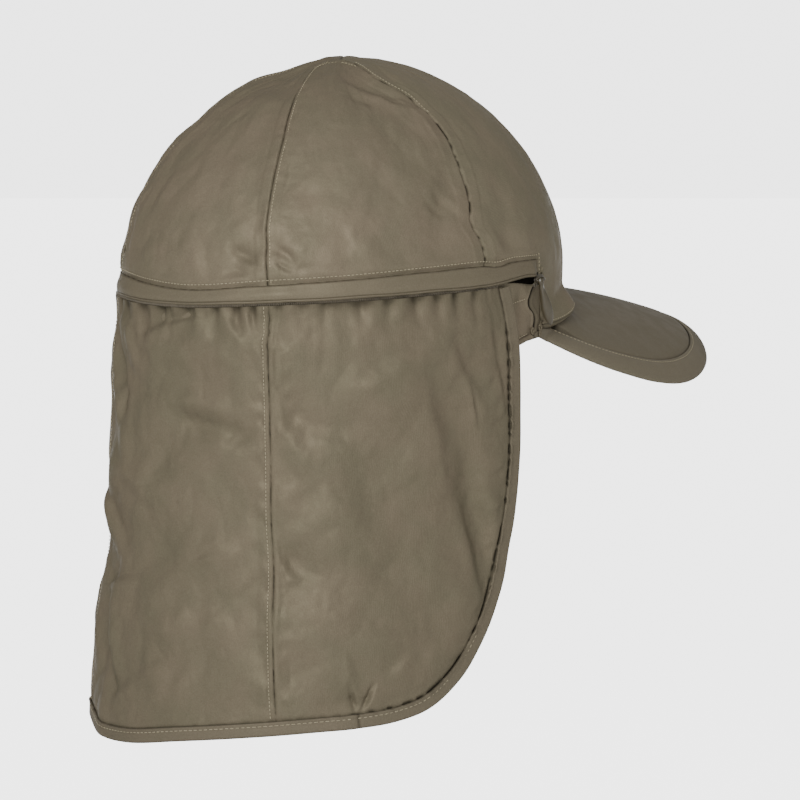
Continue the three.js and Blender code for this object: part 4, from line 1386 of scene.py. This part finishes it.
def peak_pad():
    """The peak's padded inner part, with its rear edge under the crown."""
    inset = PEAK_BINDING + 0.1
    corner = peak_corner(inset) - 0.004
    x, y = peak_outline(corner, inset)
    crown_corner = np.degrees(np.arctan2(-x / CROWN_WIDTH, -y / CROWN_LENGTH) - 0.004)
    u = np.linspace(0, 1, 140)[None, :]
    s = np.linspace(0, 1, 60)
    s = (0.5 * s + 0.5 * np.sin(s * np.pi / 2))[:, None]
    start = wall(mix(-crown_corner, crown_corner, u), 0, -1.2)
    edge_x, edge_y = peak_outline(mix(-corner, corner, u), inset)
    px = mix(start[..., 0], edge_x, s)
    py = mix(start[..., 1], edge_y, s)
    from_edge = np.hypot(edge_x - px, edge_y - py)
    from_crown = np.hypot(start[..., 0] - px, start[..., 1] - py)
    around = np.degrees(np.arctan2(-px / CROWN_WIDTH, -py / CROWN_LENGTH))
    fillet = temple_rise(around) * bell(np.maximum(from_crown - 2, 0) / 5.5)
    lift = -0.7 * bell(from_edge / 0.6) + 0.35 * ease(from_edge / 5) + fillet
    lift = lift + 0.07 * noise(91, px / 22, py / 26)
    top = peak_surface(px, py, lift)
    drop = -PEAK_THICKNESS - 0.35 * ease(from_edge / 5) + 0.8 * bell(from_edge / 0.7)
    under = peak_surface(px, py, drop)
    # Painted shade in the seam at the pad's edge, darker towards the tip, and where the pad meets the crown
    painted_seam_shade = 0.3 + 0.45 * near_tip(py)
    painted_shade = painted_seam_shade * bell(from_edge / 0.35) + 0.55 * bell((from_crown - 1.2) / 1.0)
    painted_shade = np.clip(np.concatenate([painted_shade.ravel()] * 2), 0, 1)
    rows, cols = top.shape[:2]
    points = np.concatenate([top.reshape(-1, 3), under.reshape(-1, 3)])
    faces = np.concatenate([
        grid_faces(rows, cols, 0),
        grid_faces(rows, cols, rows * cols, True),
        border_faces(rows, cols),
    ])
    piece = new_object("peak_pad", points, faces, PEAK, painted_shade=painted_shade)
    fix_normals(piece)
    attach(piece, "cap")
    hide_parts("peak")


peak_pad()


TAIL_DEGREES = 7.5


def edge_tail(first):
    """Points that carry the peak's edge on along the crown's wall, thinner towards their end."""
    share = np.linspace(0, 1, 9)[1:]
    start = np.degrees(np.arctan2(first[0] / CROWN_WIDTH, -first[1] / CROWN_LENGTH))
    level = wall(-start + share * TAIL_DEGREES * np.sign(-start), 0, 0)
    away = np.hypot(first[0], first[1]) / np.hypot(*wall(-start, 0, 0)[:2])
    stand = mix(away, 1.0 + 0.3 / 95, ease(share * 0.8))
    centre_z = peak_surface(first[0], first[1], -PEAK_THICKNESS / 2)[2]
    end_z = mix(first[2], centre_z + 1.4, 0.55 * ease(share))
    return np.stack([level[:, 0] * stand, level[:, 1] * stand, end_z + 1.1 * share], -1)


def peak_edge():
    """The peak's wide bound edge: one section carried round the outline."""
    half = PEAK_THICKNESS / 2
    wide = PEAK_BINDING
    # Distance in from the edge and depth below the peak's surface
    section = [
        (wide, 0.75), (wide - 0.2, 0.35), (wide - 0.5, 0.06), (wide - 0.9, -0.08), (wide - 1.5, 0.06),
        (wide - 2.1, -0.12), (4.2, -0.2), (3.3, -0.14), (2.5, 0.02), (1.8, 0.24), (1.2, 0.55), (0.7, 0.95),
        (0.25, 1.5), (0.0, half),
    ]
    section = section + [(inset, PEAK_THICKNESS - drop) for inset, drop in section[-2::-1]]
    lines = []
    painted_shades = []
    for inset, drop in section:
        corner = peak_corner(inset)
        u = np.linspace(0, 1, 280)
        x, y = peak_outline(mix(-corner, corner, u), inset)
        soft = 0.1 * noise(95, u * 40, inset / 3) * (1 if drop < half else -1)
        line = peak_surface(x, y, soft - drop)
        line = np.concatenate([edge_tail(line[0])[::-1], line, edge_tail(line[-1])])
        lines.append(line)
        tip = near_tip(line[:, 1])
        # Painted shade in the seam groove, darker towards the tip, and a little over the whole tip
        painted_shades.append((0.3 + 0.45 * tip) * float(bell((wide - inset) / 0.3)) + 0.16 * tip)
    rings = np.stack(lines, 1)
    faces = capped_faces(*rings.shape[:2])
    painted_shade = np.stack(painted_shades, 1)
    piece = new_object("peak_edge", rings.reshape(-1, 3), faces, EDGE, painted_shade=painted_shade, sharp=55)
    fix_normals(piece)
    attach(piece, "cap")
    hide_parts("peak_binding")


peak_edge()


# Zip fittings

SLIDER_SEAT = Vector((-79.32901, -33.66375, 27.6))
SLIDER_FORWARD = Vector((0.26087, -0.93457, 0.24192))


def seat_matrix():
    """x runs forward along the zip, y up and z out from the wall."""
    level = Vector((SLIDER_FORWARD.x, SLIDER_FORWARD.y, 0)).normalized()
    out = level.cross(Vector((0, 0, 1)))
    up = out.cross(SLIDER_FORWARD)
    return Matrix((
        (SLIDER_FORWARD.x, up.x, out.x),
        (SLIDER_FORWARD.y, up.y, out.y),
        (SLIDER_FORWARD.z, up.z, out.z),
    ))


SEAT = np.array(seat_matrix())


def seated(points):
    return np.asarray(points) @ SEAT.T + np.array(SLIDER_SEAT)


def loft(name, sections, material, body, node):
    """A closed solid through rings of the same number of points."""
    rings = np.stack(sections)
    faces = capped_faces(*rings.shape[:2])
    piece = new_object(name, seated(rings.reshape(-1, 3)), faces, material, sharp=60)
    fix_normals(piece)
    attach(piece, body)
    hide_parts(node)


def rounded_ring(half_x, half_y, z, power=3.2, count=40):
    turn = np.arange(count) * 2 * np.pi / count
    x = half_x * np.sign(np.cos(turn)) * np.abs(np.cos(turn)) ** (2 / power)
    y = half_y * np.sign(np.sin(turn)) * np.abs(np.sin(turn)) ** (2 / power)
    return np.stack([x, y, z + 0 * x], -1)


def slider_rod(name, path, radius, sides, up):
    """A rod on the slider from a path in its seat's frame. up is one of the seat's axes."""
    points, faces = rod(seated(path), np.full(len(path), radius), sides, up=SEAT[:, up])
    piece = new_object(name, points, faces, SLIDER, sharp=60)
    fix_normals(piece)
    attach(piece, "cap")


def slider():
    # half length, half width and height of each ring
    rings = [rounded_ring(*sizes) for sizes in (
        (3.3, 1.9, 0.05), (3.5, 2.1, 0.3), (3.5, 2.1, 0.7), (3.2, 1.8, 0.9), (3.2, 1.8, 1.15),
        (3.4, 2.0, 1.35), (3.3, 1.9, 1.75), (2.9, 1.5, 2.05), (1.4, 0.8, 2.15),
    )]
    loft("slider_body", rings, SLIDER, "cap", "zip_slider")
    bend = np.linspace(-0.15, np.pi + 0.15, 19)
    path = np.stack([2.3 * np.cos(bend) - 1.1, 0.5 + 0 * bend, 1.9 + 1.95 * np.sin(bend)], -1)
    slider_rod("slider_bail", path, 0.55, 10, 1)
    # The ring at the slider's back end
    turn = np.linspace(0, 2 * np.pi, 21)[:-1]
    ring = np.stack([-4.9 + 0.95 * np.cos(turn), -0.9 + 0.95 * np.sin(turn), 1.5 + 0 * turn], -1)
    slider_rod("slider_ring", np.concatenate([ring, ring[:2]]), 0.42, 8, 2)


slider()

# The puller's rest: degrees out and mm behind its hinge, mm out from the wall, twist in degrees
PULL_SWING = 8
PULL_BACK = 2.7
PULL_BAR = 3.1
PULL_TWIST = 48

# Half width and half depth at a height along the puller, with its bar at 0
PULL_WIDTH = np.array([
    (-19, 0.12), (-18.8, 0.5), (-18.2, 0.95), (-16.8, 1.65), (-15, 2.15), (-12.5, 2.35), (-9.5, 2.2),
    (-6.5, 1.75), (-3.5, 1.3), (-1.3, 1.1), (0.5, 1.15), (1.3, 0.7),
])
PULL_DEPTH = np.array([
    (-19, 0.1), (-18.7, 0.35), (-17, 0.7), (-12, 0.95), (-7, 0.9), (-2, 0.9), (0, 1.2), (1.3, 0.6),
])


def puller():
    """A slender leaf with a rounded section and a raised rib, hung from the bail."""
    swing = np.radians(PULL_SWING)
    sections = []
    lengths = np.concatenate([
        np.linspace(1.3, -1.4, 8),
        np.linspace(-2, -18.4, 36),
        [-18.7, -18.9, -18.98],
    ])
    for y in lengths:
        width = spline(PULL_WIDTH[:, 0], PULL_WIDTH[:, 1], y)
        depth = spline(PULL_DEPTH[:, 0], PULL_DEPTH[:, 1], y)
        ring = rounded_ring(width, depth, 0, 1.75, 32)
        flat = ring[:, 0]
        # The front half is ridged along its length
        ridge = 0.28 * bell((flat + 0.25 * width) / (0.45 * width + 0.1))
        thick = ring[:, 1] + np.where(ring[:, 1] > 0, ridge, 0)
        twist = np.radians(PULL_TWIST) * ease(-y / 6)
        across = flat * np.cos(twist) - thick * np.sin(twist)
        off = flat * np.sin(twist) + thick * np.cos(twist)
        sections.append(np.stack([
            across - PULL_BACK,
            y * np.cos(swing) + off * np.sin(swing),
            PULL_BAR - y * np.sin(swing) + off * np.cos(swing),
        ], -1))
    loft("zip_puller", sections, PULLER, "puller", "zip_pull")


puller()

zip_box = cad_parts["zip_box"]
zip_box.data.materials.clear()
zip_box.data.materials.append(SLIDER)


# Stitches

def stitch_parts(points, normals, length, gap, radius):
    """Short rounded stitches along a fine path of points."""
    steps = np.linalg.norm(np.diff(points, axis=0), axis=1)
    run = np.concatenate([[0], np.cumsum(steps)])
    parts = []
    at = gap / 2
    while at + length < run[-1]:
        where = at + np.array([0, 0.12, 0.5, 0.88, 1]) * length
        path = np.stack([np.interp(where, run, points[:, i]) for i in range(3)], -1)
        normal = np.stack([np.interp(where, run, normals[:, i]) for i in range(3)], -1)
        lift = np.array([-0.35, 0.35, 0.75, 0.35, -0.35]) * radius - 0.05
        path = path + normal * lift[:, None]
        parts.append(rod(path, radius * np.array([0.55, 0.9, 1, 0.9, 0.55]), 6, up=normal[2]))
        at += length + gap
    return parts


def wall_path(angle, z, out):
    """Points on the wall and their outward normals."""
    points = wall(angle, z, out)
    normal = surface_normals(lambda a, b: wall(a, b, out), angle, z, 0.2)
    away = np.stack([points[..., 0], points[..., 1], np.maximum(points[..., 2], 0) * 0.3], -1)
    return points, normal * np.sign((normal * away).sum(-1, keepdims=True))


def stitch_row(angle, z, out, length, gap, radius):
    points, normals = wall_path(angle, z, out)
    return stitch_parts(points, normals, length, gap, radius)


def crown_stitches():
    parts = []
    # seam, side of it and distance in mm
    for seam, side, offset in (
        (FRONT_SEAM, 1, 1.6), (SIDE_SEAM, -1, 1.1), (BACK_SEAM, -1, 1.6),
        (360 - BACK_SEAM, 1, 1.6), (360 - SIDE_SEAM, 1, 1.3), (360 - FRONT_SEAM, -1, 1.6),
    ):
        over_guard = 70 < seam < 290
        low = float(guard_top(seam)) + 0.5 if over_guard else float(crown_foot(seam)) + 3
        turn = np.linspace(0, 1, 260)
        z = np.concatenate([
            np.linspace(low, DOME_BASE + 0.2, 20)[:-1],
            mix(DOME_BASE, CROWN_HEIGHT, np.sin(turn * 1.5) ** (2 / DOME_FULLNESS)),
        ])
        # The side seam shows its stitches near the top only
        z = z[(z < 118.5) & ((z > 97) | (seam != SIDE_SEAM))]
        line = seam_angle(seam, z)
        radius = np.maximum(np.hypot(*wall(line, z)[:, :2].T), 4)
        angle = line + side * np.degrees(offset / radius)
        points, normals = wall_path(angle, z, crown_dents(angle, z))
        if seam > 180:
            points[:, 2] -= top_hollow(points)
        parts += stitch_parts(points + normals * 0.26, normals, 0.95, 0.65, 0.15)
    # The seam that runs over the top at the right
    angle = np.linspace(117, 155, 200)
    z = np.interp(angle, [117, 125, 134, 144, 153, 156], [116.6, 117.9, 118.5, 118.1, 117, 115.3])
    parts += stitch_row(angle, z, 0.15, 0.95, 0.65, 0.15)
    # Row above the guard strip
    angle = np.linspace(70.4, 289, 900)
    z = guard_top(angle) - guard_dip(angle) + 1.9
    parts += stitch_row(angle, z, 0.4 + crown_dents(angle, z), 1.05, 0.7, 0.16)
    # Short upright row at the front end of the guard strip
    z = np.linspace(29.5, 39, 60)
    parts += stitch_row(69.2 + 0 * z, z, 0.18, 0.9, 0.7, 0.13)
    # Foot of the crown over the peak
    angle = np.linspace(-66, 66, 500)
    parts += stitch_row(angle, crown_foot(angle) + 3.1, crown_flare(angle, 3.1), 1.1, 0.8, 0.13)
    # Rows on the band at the right temple
    angle = np.linspace(77, 83.5, 60)
    parts += stitch_row(angle, 19.9 - 0.32 * (angle - 77), 1.0, 0.8, 0.9, 0.15)
    angle = np.linspace(76, 289, 900)
    out = 0.45 + 0.5 * near_temple(angle)
    parts += stitch_row(angle, rim_rise(angle) + 2.9, out, 1.0, 0.8, 0.15)
    joined("crown_stitches", parts, THREAD)


crown_stitches()


def flap_stitches():
    parts = []
    for mirror in (False, True):
        level = np.linspace(-0.99, 0.955, 500)
        line = flap_seam(level) + 1.9 / per_degree(FLAP_SEAM)
        angle = 360 - line if mirror else line
        z = flap_z(angle, level)
        flat = to_flat(angle, z)
        lift = 0.32 + 0.35 * np.exp((z - flap_top(angle)) / 8)
        points = on_flap(flat, lift)
        normals = on_flap(flat, lift + 1) - points
        parts += stitch_parts(points, normals, 0.95, 0.6, 0.15)
    flat = OUTLINE + INWARD * 4.3
    points = on_flap(flat, 0.42 + 0 * flat[:, 0])
    normals = on_flap(flat, 1.42 + 0 * flat[:, 0]) - points
    parts += stitch_parts(points[150:-8], normals[150:-8], 1.5, 0.8, 0.15)
    joined("flap_stitches", parts, THREAD)


flap_stitches()


def peak_stitches():
    inset = PEAK_BINDING - 1.4
    corner = peak_corner(inset) + 0.02
    x, y = peak_outline(np.linspace(-corner, corner, 900), inset)
    normals = -surface_normals(peak_surface, x, y, 0.2)
    parts = stitch_parts(peak_surface(x, y), normals, 1.3, 0.8, 0.14)
    joined("peak_stitches", parts, THREAD)


peak_stitches()


def bartacks():
    """Small lumps of thread where the rim, the tape and the peak meet."""
    parts = []
    # angle, z, distance out and size
    for angle, z, out, size in ((74.0, 6.4, 1.4, 1.25), (69.3, 7.5, 0.8, 1.35), (69.6, 5.0, 1.0, 1.0)):
        turn = np.linspace(0, 2 * np.pi, 15)[:-1]
        across = angle + size * 0.8 * np.cos(turn) / TEMPLE_DEGREE
        height = z + size * np.sin(turn)
        points, normals = wall_path(across, height, out)
        closed = np.concatenate([points, points[:2]])
        parts.append(rod(closed, np.full(len(closed), 0.42), 7, up=normals[0]))
    joined("bartacks", parts, GUARD)


bartacks()


# Stage and light

# Brightness behind the cap, round the rest of the horizon, and overhead
BACKDROP = 3.4
RING = 0.95
DIM = 0.38


def smooth_range(nodes, links, source, start, end, low, high):
    node = nodes.new("ShaderNodeMapRange")
    node.interpolation_type = "SMOOTHSTEP"
    set_inputs(node, {"From Min": start, "From Max": end, "To Min": low, "To Max": high})
    links.new(source, node.inputs["Value"])
    return node.outputs["Result"]


def vector_node(nodes, links, source, operation):
    node = nodes.new("ShaderNodeVectorMath")
    node.operation = operation
    links.new(source, node.inputs[0])
    return node


def backdrop_level(nodes, links, heading):
    """Brightness at the horizon: highest straight behind the cap in the main view."""
    behind = vector_node(nodes, links, heading, "DOT_PRODUCT")
    behind.inputs[1].default_value = (-CAMERA_BACK[0], -CAMERA_BACK[1], 0)
    return smooth_range(nodes, links, behind.outputs["Value"], 0.78, 0.96, RING, BACKDROP)


def make_floor():
    """A pale floor that glows away from the middle."""
    mesh = bpy.data.meshes.new("floor")
    size = 90
    corners = [(-size, -size, 0), (size, -size, 0), (size, size, 0), (-size, size, 0)]
    mesh.from_pydata(corners, [], [(0, 1, 2, 3)])
    floor = bpy.data.objects.new("floor", mesh)
    floor.location = (0, 0, -0.42)
    bpy.context.scene.collection.objects.link(floor)
    material, nodes, links, shader, place = new_material("pale_floor")
    set_inputs(shader, {
        "Base Color": (0.9, 0.9, 0.9, 1),
        "Roughness": 0.9,
        "Specular IOR Level": 0,
        "Emission Color": (1, 1, 1, 1),
    })
    length = vector_node(nodes, links, place, "LENGTH")
    unit = vector_node(nodes, links, place, "NORMALIZE")
    level = backdrop_level(nodes, links, unit.outputs["Vector"])
    glow = smooth_range(nodes, links, length.outputs["Value"], 1.45, 1.85, 0.0, 1)
    links.new(level, glow.node.inputs["To Max"])
    links.new(glow, shader.inputs["Emission Strength"])
    mesh.materials.append(material)


def make_world():
    """A world that is bright at the horizon and dim overhead."""
    world = bpy.data.worlds.new("studio")
    bpy.context.scene.world = world
    world.use_nodes = True
    nodes = world.node_tree.nodes
    links = world.node_tree.links
    background = nodes["Background"]
    background.inputs["Color"].default_value = (1, 1, 1, 1)
    heading = nodes.new("ShaderNodeTexCoord").outputs["Generated"]
    split = nodes.new("ShaderNodeSeparateXYZ")
    links.new(heading, split.inputs["Vector"])
    strength = smooth_range(nodes, links, split.outputs["Z"], 0.035, 0.1, 1, DIM)
    links.new(backdrop_level(nodes, links, heading), strength.node.inputs["To Min"])
    links.new(strength, background.inputs["Strength"])


make_floor()
make_world()


def area_light(name, azimuth, elevation, distance, size, power):
    """A square light that shines at the middle. Angles in degrees, distance and size in metres."""
    data = bpy.data.lights.new(name, "AREA")
    data.shape = "SQUARE"
    data.size = size
    data.energy = power
    back = direction(azimuth, elevation)
    aimed(name, data, back * distance, back)


# A large soft light above the main view, and a weak one from the front
area_light("key", 215, 28, 2.0, 1.0, 29.5)
area_light("front", 30, 28, 2.6, 1.6, 4)
